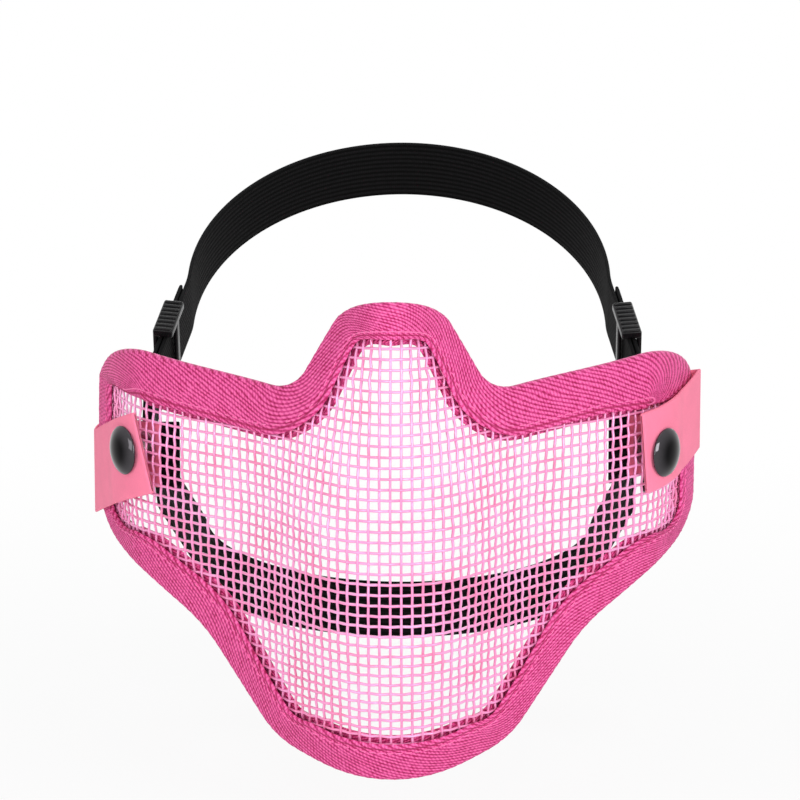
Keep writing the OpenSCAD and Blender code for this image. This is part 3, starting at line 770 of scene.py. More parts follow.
class TapeSettings(bpy.types.PropertyGroup):
    """Sizes and colours of the edge tape."""
    stations: IntProperty(name="Stations", description="Sections along the edge", default=520,
                          min=200, max=700)
    rib_pitch: size("Rib pitch", "Distance between ribs, square to them", 1.2, 0.6, 3)
    rib_lean: FloatProperty(name="Rib lean", subtype="ANGLE", default=np.radians(20),
                            description="Angle between the ribs and the tape's run")
    rib_height: size("Rib height", "Height of a rib over its groove", 0.2, 0, 0.4)
    stitch: size("Stitch", "Distance between stitches", 3.0, 1.5, 6)
    colour: colour("Tape", "tape", (0.65, 0.047, 0.232))
    # Painted shade in the grooves between the ribs and along the crease at the bead.
    groove_shade_colour: colour("Groove", "grooves between its ribs", (0.33, 0.006, 0.065))
    # Painted highlight on the ribs' tops; the tape's stitches also take it as their thread colour.
    light_colour: colour("Rib top", "ribs' tops", (0.95, 0.162, 0.44))


class TabSettings(bpy.types.PropertyGroup):
    """Colour and edge of the felt tabs."""
    colour: colour("Felt", "felt", (1.0, 0.229, 0.372))
    round: size("Edge", "Round of the felt's cut edges", 0.55, 0.2, 0.8)


class SnapSettings(bpy.types.PropertyGroup):
    """Colours of the snap fasteners."""
    cap_colour: colour("Cap", "domed caps", (0.008, 0.0075, 0.0082))
    steel_colour: colour("Steel", "sockets, studs and rivets", (0.55, 0.55, 0.53))


class StrapSettings(bpy.types.PropertyGroup):
    """Cords of the straps, and colours of the straps and sliders."""
    cords: IntProperty(name="Cords", description="Lengthwise cords in a strap", default=12,
                       min=6, max=20)
    colour: colour("Webbing", "webbing", (0.009, 0.009, 0.0095))
    # Painted shade in the grooves between the cords.
    groove_shade_colour: colour("Groove", "grooves between its cords", (0.002, 0.002, 0.002))
    plastic_colour: colour("Plastic", "sliders", (0.006, 0.006, 0.0065))


class StageSettings(bpy.types.PropertyGroup):
    """Light and floor."""
    light: FloatProperty(name="Light", description="Strength of the lamps", default=1.0,
                         min=0, max=4)
    world: FloatProperty(name="World", description="Strength of the even light from all round",
                         default=0.4, min=0, max=2)
    floor_colour: colour("Floor", "floor", (0.88, 0.88, 0.88))


# Wires

def wire_net(pitch, stations):
    """Crossings of the wires: a net laid over half of the face, whose threads all keep the
    same distance between crossings. It starts from even runs across and down the face, and
    each step moves every crossing by a quarter of what its four threads are too long or
    too short by."""
    columns = int(np.ceil((EDGE_RUN + NET_PAST) / pitch))
    z = np.arange(*NET_LEVELS)
    x = np.interp(np.arange(columns + 1) * pitch, RUN, RUN_X)
    solid = skin(np.stack(np.meshgrid(x, z, indexing="ij"), -1))
    steps = np.linalg.norm(np.diff(solid, axis=1, prepend=solid[:, :1]), axis=2)
    run = np.cumsum(steps, axis=1)
    run -= run[:, [int(np.argmin(np.abs(z)))]]
    wanted = np.arange(-ROWS_BELOW, ROWS_ABOVE + 1) * pitch
    net = np.stack([x[:, None].repeat(len(wanted), 1),
                    np.stack([np.interp(wanted, r, z) for r in run])], -1)
    live = inside(net, stations[0] - stations[1] * NET_PAST)
    for _ in range(NET_STEPS):
        solid = skin(net)
        push = np.zeros_like(net)
        for axis in (0, 1):
            gap = np.diff(solid, axis=axis)
            long = np.linalg.norm(gap, axis=-1, keepdims=True)
            first = (slice(None),) * axis + (slice(None, -1),)
            last = (slice(None),) * axis + (slice(1, None),)
            both = live[first] & live[last]
            pull = (gap * (1 - pitch / long))[..., [0, 2]] * both[..., None]
            push[first] += pull
            push[last] -= pull
        push[0, :, 0] = 0
        net += NET_SHARE * push
    return net


def spline(points, parts):
    """Points between crossings on a smooth line through them, along the second axis: each
    stretch is the cubic whose end slopes are half of the span between the neighbours."""
    ends = np.concatenate([2 * points[:, :1] - points[:, 1:2], points,
                           2 * points[:, -1:] - points[:, -2:-1]], 1)[:, :, None]
    a, b, c, d = ends[:, :-3], ends[:, 1:-2], ends[:, 2:-1], ends[:, 3:]
    t = (np.arange(parts) / parts)[:, None]
    fine = 0.5 * (2 * b + (c - a) * t + (2 * a - 5 * b + 4 * c - d) * t ** 2
                  + (3 * b - a - 3 * c + d) * t ** 3)
    return np.concatenate([fine.reshape(len(points), -1, points.shape[-1]), points[:, -1:]], 1)


def woven(name, lines, keep, parity, radius):
    """One family of wires: circles carried along lines over the face, which rise and fall
    by a cosine from crossing to crossing, by less than half of a wire's radius, because the
    enamel bridges them there. Keep says which points of the lines are there."""
    step = np.arange(lines.shape[1]) / WIRE_PARTS
    middle = off_skin(lines, WIRE_LIFT * radius * np.cos(np.pi * (step + parity[:, None])))
    along = unit(np.gradient(middle, axis=1))
    side = unit(np.cross(along, front(lines)))
    up = np.cross(side, along)
    turn = np.linspace(0, TURN, WIRE_SIDES, endpoint=False)[:, None]
    ring = np.cos(turn) * up[:, :, None] + np.sin(turn) * side[:, :, None]
    points = middle[:, :, None] + radius * ring
    number = np.cumsum(keep.ravel()).reshape(keep.shape) - 1
    joined = keep[:, :-1] & keep[:, 1:]
    a, b = ((part[joined] * WIRE_SIDES)[:, None] for part in (number[:, :-1], number[:, 1:]))
    k = np.arange(WIRE_SIDES)
    n = (k + 1) % WIRE_SIDES
    quads = np.stack([a + k, b + k, b + n, a + n], -1).reshape(-1, 4)
    padded = np.pad(keep, ((0, 0), (1, 1)))
    starts, stops = number[keep & ~padded[:, :-2]], number[keep & ~padded[:, 2:]]
    caps = np.concatenate([starts[:, None] * WIRE_SIDES + k, stops[:, None] * WIRE_SIDES + k[::-1]])
    return put_mesh(name, points[keep], [quads, caps])


class MASK_OT_wires(bpy.types.Operator):
    """Weaves the steel wires over the face, as two families that pass over and under"""
    bl_idname = "half_mask.wires"
    bl_label = "Woven wires"

    def execute(self, context):
        props = context.scene.mask_wires
        stations = outline_stations(NET_OUTLINE)
        half = wire_net(props.pitch, stations)
        net = np.concatenate([half[:0:-1] * [-1, 1], half])
        fence = inset(stations, props.cover)
        post = skin(np.array([SNAP_X, 0.0]))
        material = wire_paint(props)
        for name, lines, parity in (
                ("upright_wires", net, np.arange(1 - len(half), len(half))),
                ("level_wires", net.transpose(1, 0, 2), np.arange(net.shape[1]) + len(half))):
            fine = spline(lines, WIRE_PARTS)
            keep, solid = inside(fine, fence), skin(fine)
            for side in SIDES:
                keep &= np.linalg.norm(mirrored(solid, side) - post, axis=-1) > POST_HOLE
            beside = np.pad(keep, ((0, 0), (1, 1)))
            keep &= beside[:, :-2] | beside[:, 2:]
            piece = woven(name, fine, keep, parity, props.thick / 2)
            finish_piece(piece, material, ["mesh_shell"], "mask")
        return {"FINISHED"}


# Edge tape

def dip(d, depth):
    """How far a leg of the tape sinks to the wires a distance d from the edge."""
    return depth * eased((d - DIP_FROM) / (TAPE_FRONT - DIP_FROM))


def tape_section(rib_height):
    """Section of the folded tape as rows of distance from the edge, height over the mesh,
    distance across the cloth and share of the ribs. It goes round from the front selvedge
    over the fold to the back, and returns along the inside."""
    ribbed = LEG_OUT - rib_height / 2
    high, low = LEG_OUT - DIP_OUT, LEG_IN - DIP_IN
    t = np.linspace(0, 1, 7)
    bead = TAPE_FRONT - 0.1 - BEAD * t
    rise = LEG_OUT + BEAD_HIGH * np.sin(np.pi * t) - 0.3 * (1 - t) ** 3
    ahead = np.arange(TAPE_FRONT - BEAD - 0.4, FOLD_ROUND, -AHEAD_STEP)
    share = np.clip((TAPE_FRONT - BEAD - 0.1 - ahead) / 0.5, 0, 1)
    fold = np.radians(np.linspace(80, -80, 13))
    behind = np.arange(FOLD_ROUND + 0.2, TAPE_BACK - 0.4, BEHIND_STEP)
    end = np.radians(np.linspace(-80, 80, 6))
    tall = (high - low) / 2 * np.sin(end) - (high + low) / 2
    back = np.linspace(TAPE_BACK - 0.8, FOLD_INSIDE, 10)
    fore = np.linspace(FOLD_INSIDE, TAPE_FRONT - 0.4, 10)
    lip = np.array([0.08, 0]), np.array([low + 0.15, (low + high) / 2]), np.array([0.1, 0.05])
    rows = ((bead, rise - dip(bead, DIP_OUT), bead, 0),
            (ahead, ribbed - dip(ahead, DIP_OUT), ahead, share),
            (FOLD_ROUND * (1 - np.cos(fold)), ribbed * np.sin(fold), fold * FOLD_ROUND / 2, 1),
            (behind, dip(behind, DIP_OUT) - ribbed, -behind, 1),
            (TAPE_BACK - 0.5 + 0.5 * np.cos(end), tall, -TAPE_BACK, 0),
            (back, dip(back, DIP_IN) - LEG_IN, -back - 2 * TAPE_BACK, 0),
            (fore, LEG_IN - dip(fore, DIP_IN), fore - 2 * TAPE_BACK, 0),
            (TAPE_FRONT - lip[0], lip[1], TAPE_FRONT - lip[2], 0))
    return np.concatenate([np.stack(np.broadcast_arrays(*row), -1) for row in rows])


class MASK_OT_tape(bpy.types.Operator):
    """Folds the twill tape over the edge and sews it down"""
    bl_idname = "half_mask.tape"
    bl_label = "Edge tape"

    def execute(self, context):
        props = context.scene.mask_tape
        count = props.stations
        flat, inward, reach, length = outline_stations(count)
        d, n, across, share = tape_section(props.rib_height).T
        rib_rise, rib_run = np.cos(props.rib_lean), np.sin(props.rib_lean)
        whole = round(length * rib_run / props.rib_pitch)
        along = np.arange(count)[:, None] / count

        def phase(row, v):
            wander = sum(high * np.sin(TURN * times * row + slant * v)
                         for high, times, slant in RIB_WANDER)
            return row * whole - v * rib_rise / props.rib_pitch + wander

        lines = flat[:, None] + inward[:, None] * (reach[:, None] * d / TAPE_BACK)[..., None]
        ribs = np.cos(TURN * phase(along, across)) * share * props.rib_height / 2
        pucker = (PUCKER * np.sin(TURN * along * round(length / props.stitch))
                  * np.exp(-((d - STITCH_FRONT) / PUCKER_WIDE) ** 2))
        height = np.sign(n) * (np.abs(n) + ribs + np.where(share > 0, pucker, 0))

        piece = sweep("edge_binding", off_skin(lines, height), closed=True, maps={
            "ribs": lambda row, col: (phase(row / count, across[col]), row / count * length),
            "cut": lambda row, col: (row / count * length, np.where(n > 0, d, 0)[col])})
        finish_piece(piece, tape_cloth(props), ["edge_tape"], "mask")
        rows = outline_stations(round(length / props.stitch))
        for name, depth, level in (("tape_stitches_front", STITCH_FRONT, 1),
                                   ("tape_stitches_back", STITCH_BACK, -1)):
            at = inset(rows, depth)
            lift = level * (LEG_OUT - STITCH_SUNK - dip(depth, DIP_OUT))
            centres = off_skin(at, np.full(len(at), lift))
            run = np.roll(centres, -1, 0) - np.roll(centres, 1, 0)
            sewn = capsules(name, centres, run, level * front(at), props.stitch * STITCH_SHARE,
                            THREAD_R)
            finish_piece(sewn, thread(name + "_thread", props.light_colour),
                                         body="mask")
        return {"FINISHED"}


# Felt tabs

def leaned(flat, v, lean, rise):
    """Points over points in plan, at a height v across a band that passes the snap's middle
    at a rise and slopes by a lean."""
    level = (flat - SNAP_AT) @ SNAP_SQUARE
    return np.concatenate([flat, (rise + level * np.tan(lean) + v / np.cos(lean))[..., None]], -1)


def tab_rings(slope, rise, round_by, section):
    """Rings of a felt tab on the right side: the leg behind the mask, skived to half its
    thickness and reaching past the snap, the fold round the edge, half of a flat ellipse,
    and the leg in front, cut square to the slope of its band. Rise is how high over the
    snap's middle the band runs. Section gives points across the band from -1 to 1 and
    heights over its middle. Returned with the length of the tab."""
    across, n = section

    def leg(end):
        run = FOLD_RUN - end
        tip = round_by * (1 - np.cos(np.radians([0, 30, 60, 90])))
        at = np.concatenate([tip, np.linspace(FULL_FROM, run, LEG_RINGS - len(tip))])
        return drawn_in(at, round_by), at / run

    def band(share, half, pull):
        lean = (slope * (BACK_SHARE + (1 - BACK_SHARE) * share))[:, None]
        thin = np.sign(n) * np.maximum(np.abs(n) - pull[:, None], LEAST_HALF)
        return lean, across * (half - pull)[:, None], thin

    end = SNAP_RUN - FELT_BACK_REACH
    pull, t = leg(end)
    lean, v, thin = band(0 * t, TAB_BACK_W / 2, pull)
    t = t[:, None]
    skived = SKIVED + (1 - SKIVED) * np.clip((t - SKIVE_TO) / SKIVE_RUN, 0, 1)
    thin = -TAB_T / 2 + (thin + TAB_T / 2) * skived
    behind = leaned(plan_point(end + t * (FOLD_RUN - end), -BACK_MID - thin), v, lean, rise)

    turn = np.radians(np.linspace(-90, 90, FOLD_RINGS))[1:-1]
    share = (turn + np.pi / 2) / np.pi
    hug = np.clip(2 * share, 0, 1)
    width = TAB_BACK_W + (TAB_W - TAB_BACK_W) * hug
    lean, v, thin = band(share, width / 2, 0 * share)
    hug, turn = hug[:, None], turn[:, None]
    radius = FOLD_R - hug * HUG_LOW
    thin = thin * (1 + hug * (HUG_T / TAB_T - 1))
    out = unit(np.stack([np.cos(turn), FOLD_FLAT * np.sin(turn)], -1)) * thin[..., None]
    fold = leaned(plan_point(FOLD_RUN + radius * FOLD_FLAT * np.cos(turn) + out[..., 0],
                             FOLD_N + radius * np.sin(turn) + out[..., 1]), v, lean, rise)

    end = SNAP_RUN - FELT_FRONT_REACH * np.cos(slope)
    pull, t = (part[::-1] for part in leg(end))
    lean, v, thin = band(0 * t + 1, TAB_W / 2, pull)
    ends = end - v * np.sin(slope)
    runs = ends + t[:, None] * (FOLD_RUN - ends)
    hug = eased((runs - SNAP_RUN - HUG_FROM) / HUG_RUN)
    ahead = FRONT_MID + thin + hug * (thin * (HUG_T / TAB_T - 1) - HUG_LOW)
    ahead = leaned(plan_point(runs, ahead), v, lean, rise)
    length = 2 * (FOLD_RUN - SNAP_RUN) + FELT_BACK_REACH + FELT_FRONT_REACH + np.pi * FOLD_R
    return np.concatenate([behind, fold, ahead]), length


def fold_gap(rings, side):
    """Two points across the fold, between the leg that stays and the leg that opens: of all
    directions in plan, the one along which the points of the legs lie furthest apart."""
    back, fore = (leg[..., :2].reshape(-1, 2) for leg in (rings[:LEG_RINGS], rings[-LEG_RINGS:]))
    angle = np.radians(np.arange(-90, 90, 0.5))
    ways = np.stack([np.cos(angle), np.sin(angle)])
    low, high = (back @ ways).max(0), (fore @ ways).min(0)
    best = int((high - low).argmax())
    ends = [HINGE + ways[:, best] * (at[best] - HINGE @ ways[:, best]) for at in (low, high)]
    return [tuple(mirrored(np.array([*p, 0]), side) * MM) for p in ends]


class MASK_OT_tabs(bpy.types.Operator):
    """Folds a felt tab round each wing's edge, from behind the mask to its snap in front,
    and lines its leg behind the mask with webbing"""
    bl_idname = "half_mask.tabs"
    bl_label = "Felt tabs"

    def execute(self, context):
        props = context.scene.mask_tabs
        felt, lining = felt_cloth(props), webbing(context.scene.mask_straps)
        section = rounded_section(TAB_W, TAB_T, props.round, 14)
        section = section[:, 0] / (TAB_W / 2), section[:, 1]
        runs = np.linspace(SNAP_RUN - TAB_BACK_REACH, FOLD_RUN - LINING_SHORT, PLAN_POINTS)
        strip = webbing_strip(plan_point(runs, -BACK_MID - TAB_T / 4), LINING_CORDS, TAB_BACK_W,
                              TAB_T / 2, round_ends=False)
        for side in SIDES:
            slope, rise = np.radians(TAB_SLOPES[side]), TAB_RISES[side]
            rings, length = tab_rings(slope, rise, props.round, section)
            piece = sweep(f"felt_tab_{side}", mirrored(rings, side))
            finish_piece(piece, felt, [f"tab_flap_{side}"])
            start, end = fold_gap(rings, side)
            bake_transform(piece)

            def slanted(points):
                flat, v = points[..., :2], points[..., 2]
                return mirrored(leaned(flat, v, BACK_SHARE * slope, rise), side)

            piece, length = put_strip(f"tab_lining_{side}", strip, slanted)
            finish_piece(piece, lining, [f"tab_back_{side}"], "mask")
        return {"FINISHED"}


# Snap fasteners

def cap_profile():
    """Domed cap: a shallow dome, its rolled rim, and the tube that grips the felt."""
    radius, high, face = CAP_D / 2, CAP_H - CAP_RIM, FLAP_FACE + TAB_T
    dome = (radius ** 2 + high ** 2) / (2 * high)
    reach = np.degrees(np.arcsin((radius - 0.5) / dome))
    return np.concatenate([
        arc((0, face + CAP_H - dome), dome, 90, 90 - reach, 14),
        arc((radius - 0.45, face + CAP_ROUND), CAP_ROUND, 60, -90, 8),
        [[radius - 1.2, face + 0.1], [TUBE_D / 2, face + 0.1],
         [TUBE_D / 2, FLAP_FACE + 0.05], [0, FLAP_FACE + 0.05]]])


def socket_profile():
    """Spring socket: a dish with a bore for the stud and a raised ring round it."""
    radius, bore = SOCKET_D / 2, HEAD_D / 2 + STUD_PLAY
    return np.concatenate([
        arc((radius - EDGE_ROUND, SOCKET_LOW + EDGE_ROUND), EDGE_ROUND, -90, 0, 5),
        arc((radius - EDGE_ROUND, FLAP_FACE - EDGE_ROUND), EDGE_ROUND, 0, 90, 5),
        [[0, FLAP_FACE], [0, FLAP_FACE - 0.3], [bore, FLAP_FACE - 0.3]],
        arc((bore + RING_ROUND, SOCKET_LOW + RING_ROUND), RING_ROUND, 180, 270, 5),
        arc((radius - 1.6, SOCKET_LOW + 0.1), RING_ROUND, 180, 0, 7)])


def stud_profile():
    """Stud: a rounded head, its post through the mesh, and a foot on the tab behind."""
    head, post, foot = HEAD_D / 2, POST_D / 2, RIVET_D / 2
    top = FLAP_FACE - 0.7
    return np.concatenate([
        [[0, top]], arc((head - EDGE_ROUND, top - EDGE_ROUND), EDGE_ROUND, 90, -60, 7),
        [[post, top - 0.95], [post, BACK_INNER + 1.3]],
        arc((post + 0.5, BACK_INNER + 1.3), 0.5, 180, 270, 5),
        arc((foot - 0.35, BACK_INNER + 0.4), 0.38, 90, -90, 8),
        [[post, BACK_INNER + 0.02], [post, BACK_OUTER + 0.02], [0, BACK_OUTER + 0.02]]])


def rivet_profile():
    """Rivet head behind the tab: a flat disc with a rolled rim and an open eye."""
    radius = RIVET_D / 2
    return np.concatenate([
        [[0, BACK_OUTER], [radius - 0.4, BACK_OUTER]],
        arc((radius - 0.4, BACK_OUTER - RING_ROUND), RING_ROUND, 90, -60, 7),
        [[radius - 1.4, BACK_OUTER - 0.76], [2.3, BACK_OUTER - RIVET_H]],
        arc((1.6, BACK_OUTER - 0.6), 0.2, -90, -180, 4),
        [[1.2, BACK_OUTER - 0.15], [0, BACK_OUTER - 0.12]]])


class MASK_OT_snaps(bpy.types.Operator):
    """Turns the caps, sockets, studs and rivets of the two snap fasteners"""
    bl_idname = "half_mask.snaps"
    bl_label = "Snap fasteners"

    def execute(self, context):
        props = context.scene.mask_snaps
        # The caps' colour is nine times lighter at the rim than in the middle: painted reflection.
        black = plated("black_nickel", props.cap_colour, 0.05, 9.0)
        steel = plated("bright_nickel", props.steel_colour, 0.22)
        for side in SIDES:
            base, out = (mirrored(np.array([*flat, 0]), side) for flat in (SNAP_AT, SNAP_OUT))
            for name, profile, material, body, slot in (
                    ("snap_cap", cap_profile(), black, f"flap_{side}", "cap"),
                    ("snap_socket", socket_profile(), steel, f"flap_{side}", "snap_steel"),
                    ("snap_stud", stud_profile(), steel, "mask", "snap_steel"),
                    ("snap_rivet", rivet_profile(), steel, "mask", "snap_steel")):
                piece = lathe(f"{name}_{side}_turned", base, out, profile)
                finish_piece(piece, material, [f"{name}_{side}"], body)
        return {"FINISHED"}


# Straps

def smooth_line(points, step, window):
    """A line resampled at even steps and softened by the mean over a window of its length,
    with its ends held."""
    fine, _ = evenly(points, int(run_along(points)[-1] / step) + 1, False)
    reach = max(1, int(window / step / 2))
    pad = np.concatenate([2 * fine[:1] - fine[reach:0:-1], fine,
                          2 * fine[-1:] - fine[-2:-reach - 2:-1]])
    return np.stack([averaged(part, reach) for part in pad.T], -1)


def band_line(x, plan):
    """Plan of a strap from its left seam round the head to its right seam: straight beside
    the seams, slanting to the half width, then half of an ellipse."""
    straight, half, reach = plan
    t = np.radians(np.linspace(0, 90, PLAN_POINTS))
    right = np.concatenate([[[x, -STRAP_W / 2], [x, SEAM_FLAT]],
                            np.stack([half * np.cos(t), straight + reach * np.sin(t)], -1)])
    left = right[:-1] * [-1, 1]
    return smooth_line(np.concatenate([left, right[::-1]]), STRAP_STEP, STRAP_BLUR)


def tilted(points, z, degrees):
    """Points drawn flat about the line of the seams, turned up by an angle and put there."""
    t = np.radians(degrees)
    x, y, up = np.moveaxis(points, -1, 0)
    return np.stack([x, SEAM_Y + y * np.cos(t) - up * np.sin(t),
                     z + y * np.sin(t) + up * np.cos(t)], -1)


def webbing_strip(line, cords, width=STRAP_W, thick=STRAP_T, round_ends=True):
    """A strip of webbing carried along a line in plan. Its faces rise over every cord by a
    cosine, and its ends are cut round, to the width of a circle, or square."""
    run = run_along(line)
    length = run[-1]
    radius, gap = (width / 2, STRAP_STEP) if round_ends else (END_ROUND, END_ROUND)
    tip = radius * (1 - np.cos(np.radians(np.linspace(8, 90, 12) if round_ends else [0, 45, 90])))
    at = np.concatenate([tip, np.arange(tip[-1] + gap, length - tip[-1] - gap, STRAP_STEP),
                         length - tip[::-1]])
    edge = np.minimum(at, length - at)
    centre = np.stack([np.interp(at, run, part) for part in line.T], -1)
    tangent = unit(np.gradient(centre, axis=0))
    normal = np.stack([tangent[:, 1], -tangent[:, 0]], -1)
    v, n = rounded_section(width, thick, WEB_ROUND * min(1, thick), cords * CORD_POINTS + 1).T
    cord = v / width * cords
    ridge = np.sign(n) * CORD_DEEP * (np.cos(TURN * cord) - 1)
    n = n + np.where(np.abs(n) > thick / 2 - 0.01, ridge, 0)
    end = np.ones_like(at) if round_ends else np.minimum(1, END_THICK + edge)
    flat = centre[:, None] + normal[:, None] * (n * end[:, None])[..., None]
    rise = v * (1 - drawn_in(edge, radius) / (width / 2))[:, None]
    return np.concatenate([flat, rise[..., None]], -1), at, cord


def put_strip(name, strip, place):
    """Puts a strip where place says, with its cords and its length in a UV map. Returned
    with its length."""
    rings, at, cord = strip
    return sweep(name, place(rings), {"weave": lambda row, col: (cord[col], at[row])}), at[-1]


def on_straight(points, side):
    """Points drawn beside the upper strap's straight part, y along it and x outward, put
    in their place."""
    slant = np.arctan2(UPPER_X - UPPER_RUN_PLAN[1], UPPER_RUN_PLAN[0] - SEAM_FLAT)
    x, y, z = np.moveaxis(points, -1, 0)
    turned = np.stack([UPPER_X + x * np.cos(slant) - y * np.sin(slant),
                       SEAM_FLAT + x * np.sin(slant) + y * np.cos(slant), z], -1)
    return mirrored(tilted(turned, UPPER_SEAM_Z, UPPER_RISE), side)


def plate(name, rim, thick, radius, place):
    """A flat plate with a rounded rim: rings of its outline drawn in towards its middle,
    over its front, round the rim and over its back."""
    middle = rim.mean(0)
    turn = np.radians(np.linspace(90, -90, 7))
    near = 0.02, 0.5, 0.9
    drawn = np.concatenate([near, 1 - radius * (1 - np.cos(turn)) / (STRAP_W / 2), near[::-1]])
    level = np.concatenate([[thick / 2] * 3, (thick / 2) * np.sin(turn), [-thick / 2] * 3])
    flat = middle + (rim - middle)[None] * drawn[:, None, None]
    x = np.broadcast_to(level[:, None], flat.shape[:2])
    return sweep(name, place(np.concatenate([x[..., None], flat], -1)))


def box_stitch(side, step):
    """Centres and directions of the stitches of a sewn square with its two diagonals."""
    corners = np.array([[-1, -1], [1, -1], [1, 1], [-1, 1]]) * side / 2
    centres, ways = [], []
    for a, b in ((0, 1), (1, 2), (2, 3), (3, 0), (0, 2), (3, 1)):
        way = corners[b] - corners[a]
        count = max(2, round(np.linalg.norm(way) / step))
        centres.append(corners[a] + way * ((np.arange(count) + 0.5) / count)[:, None])
        ways.append(np.tile(way, (count, 1)))
    return np.concatenate(centres), np.concatenate(ways)


class MASK_OT_straps(bpy.types.Operator):
    """Lays the two elastic straps, their sewn ends and the doubled parts of the upper one"""
    bl_idname = "half_mask.straps"
    bl_label = "Elastic straps"

    def execute(self, context):
        props = context.scene.mask_straps
        material, cloth = webbing(props), backing()
        sewing = thread("black_thread", (0.03, 0.03, 0.032))
        centres, ways = (np.pad(flat, ((0, 0), (1, 0)))
                         for flat in box_stitch(SEAM_BOX, SEAM_STITCH))
        for name, x, plan, z, tilt in (
                ("upper", UPPER_X, UPPER_RUN_PLAN, UPPER_SEAM_Z, UPPER_RISE),
                ("lower", LOWER_X, LOWER_RUN_PLAN, LOWER_SEAM_Z, LOWER_DROP)):
            strip = webbing_strip(band_line(x, plan), props.cords)
            piece, length = put_strip(f"{name}_webbing", strip, lambda p: tilted(p, z, tilt))
            finish_piece(piece, material, [f"{name}_strap"])
            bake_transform(piece)
            spots = tilted(centres + [x - STRAP_T / 2 + 0.02, 0, 0], z, tilt)
            run = tilted(ways, z, tilt) - tilted(np.zeros(3), z, tilt)
            for side, sign in SIDES.items():
                inward = np.tile([-float(sign), 0, 0], (len(spots), 1))
                sewn = capsules(f"{name}_seam_{side}", mirrored(spots, side), mirrored(run, side),
                                inward, *SEAM_THREAD)
                finish_piece(sewn, sewing, body="mask")

        line = np.stack([np.full(PLAN_POINTS, RETURN_X + STRAP_T / 2),
                         np.linspace(RETURN_GAP, RETURN_LEN, PLAN_POINTS)], -1)
        strip = webbing_strip(line, props.cords, round_ends=False)
        t = np.radians(np.linspace(0, 360, 72, endpoint=False))
        level = np.where(np.sin(t) >= 0, UPPER_SEAM_Z, LOWER_SEAM_Z)
        rim = np.stack([SEAM_Y + STRAP_W / 2 * np.cos(t), level + STRAP_W / 2 * np.sin(t)], -1)
        for side in SIDES:
            piece, length = put_strip(f"upper_tail_{side}", strip, lambda p: on_straight(p, side))
            finish_piece(piece, material, [f"upper_return_{side}"], "upper_band")
            patch = plate(f"seam_patch_{side}", rim, PATCH_T - 0.1, PATCH_T / 2,
                          lambda p: mirrored(p + [SEAM_X + PATCH_T / 2, 0, 0], side))
            finish_piece(patch, cloth, [f"strap_patch_{side}"], "mask")
        return {"FINISHED"}


# Sliders

def soft_box(low, high, radius):
    """A box with rounded edges: a sphere's points pushed apart by the box's flat sides."""
    steps = 8
    u = ((np.arange(4 * steps) + 0.5) * TURN / (4 * steps))[:, None]
    v = (np.arange(2 * steps) + 0.5) * np.pi / (2 * steps) - np.pi / 2
    v = np.concatenate([[-np.pi / 2], v, [np.pi / 2]])
    x, y, z = np.cos(v) * np.cos(u), np.cos(v) * np.sin(u), np.sin(v)
    ball = np.stack(np.broadcast_arrays(x, y, z), -1)
    ball = np.where(np.abs(ball) < 1e-9, 0, ball)
    return (low + high) / 2 + np.sign(ball) * ((high - low) / 2 - radius) + ball * radius


def slider_boxes():
    """Low and high corners of a slider's blocks, x outward, y along the strap: two side
    walls and the bar under the webbing, grip ribs on the walls, and two bars over the
    webbing with three ribs each."""
    def around(middle, half):
        return middle - half, middle + half

    low, top, end = SLIDER_LOW, SLIDER_HIGH + SLIDER_T, SLIDER_L / 2
    outer, half_bar = SLIDER_WIDE + SLIDER_BAR, SLIDER_BAR / 2
    across = around(0, outer - 1)
    boxes = [((low, top), (-end, end), (0.5 - outer, -SLIDER_WIDE)),
             ((low, top), (-end, end), (SLIDER_WIDE, outer - 0.5)),
             ((low + 0.06, low + SLIDER_T - 0.05), around(0, half_bar), across)]
    for flank in around(0, outer - GRIP_WIDE):
        boxes += [((low + 0.3, top - 0.3), around(grip, GRIP_HALF), around(flank, GRIP_WIDE))
                  for grip in (np.arange(GRIPS) - (GRIPS - 1) / 2) * GRIP_PITCH]
    for bar in around(0, end - half_bar):
        boxes.append(((SLIDER_HIGH + 0.05, top - 0.3), around(bar, BAR_HALF), across))
        boxes += [((top - 1, top), around(rib, RIB_HALF), across)
                  for rib in (bar - RIB_PITCH, bar, bar + RIB_PITCH)]
    return np.array(boxes).transpose(0, 2, 1)


class MASK_OT_sliders(bpy.types.Operator):
    """Moulds a slider for each side of the upper strap: two side walls with
    grip ribs, two ribbed bars over the doubled webbing and one bar under it"""
    bl_idname = "half_mask.sliders"
    bl_label = "Sliders"

    def execute(self, context):
        material = moulded(context.scene.mask_straps)
        blocks = np.stack([soft_box(low, high, min(BOX_ROUND, (high[1] - low[1]) / 2.2))
                           for low, high in slider_boxes()])
        count, rings, points = blocks.shape[:3]
        quads, _ = grid(rings, points, True, False)
        for side in SIDES:
            places = on_straight(blocks + [0, SLIDER_AT - SEAM_FLAT, 0], side)
            piece = put_mesh(f"strap_slider_{side}", places, [copied(quads, count, rings * points)],
                             weld=True)
            finish_piece(piece, material, [f"slider_{side}"], f"slider_{side}")
        return {"FINISHED"}


# Stage

def aimed(data, place, aim=(0, 0, 0)):
    """An object of this data at a place, that looks at an aim with its top up."""
    made = bpy.data.objects.new(data.name, data)
    way = Vector(aim) - Vector(place)
    made.location, made.rotation_euler = place, way.to_track_quat("-Z", "Y").to_euler()
    bpy.context.scene.collection.objects.link(made)
    return made


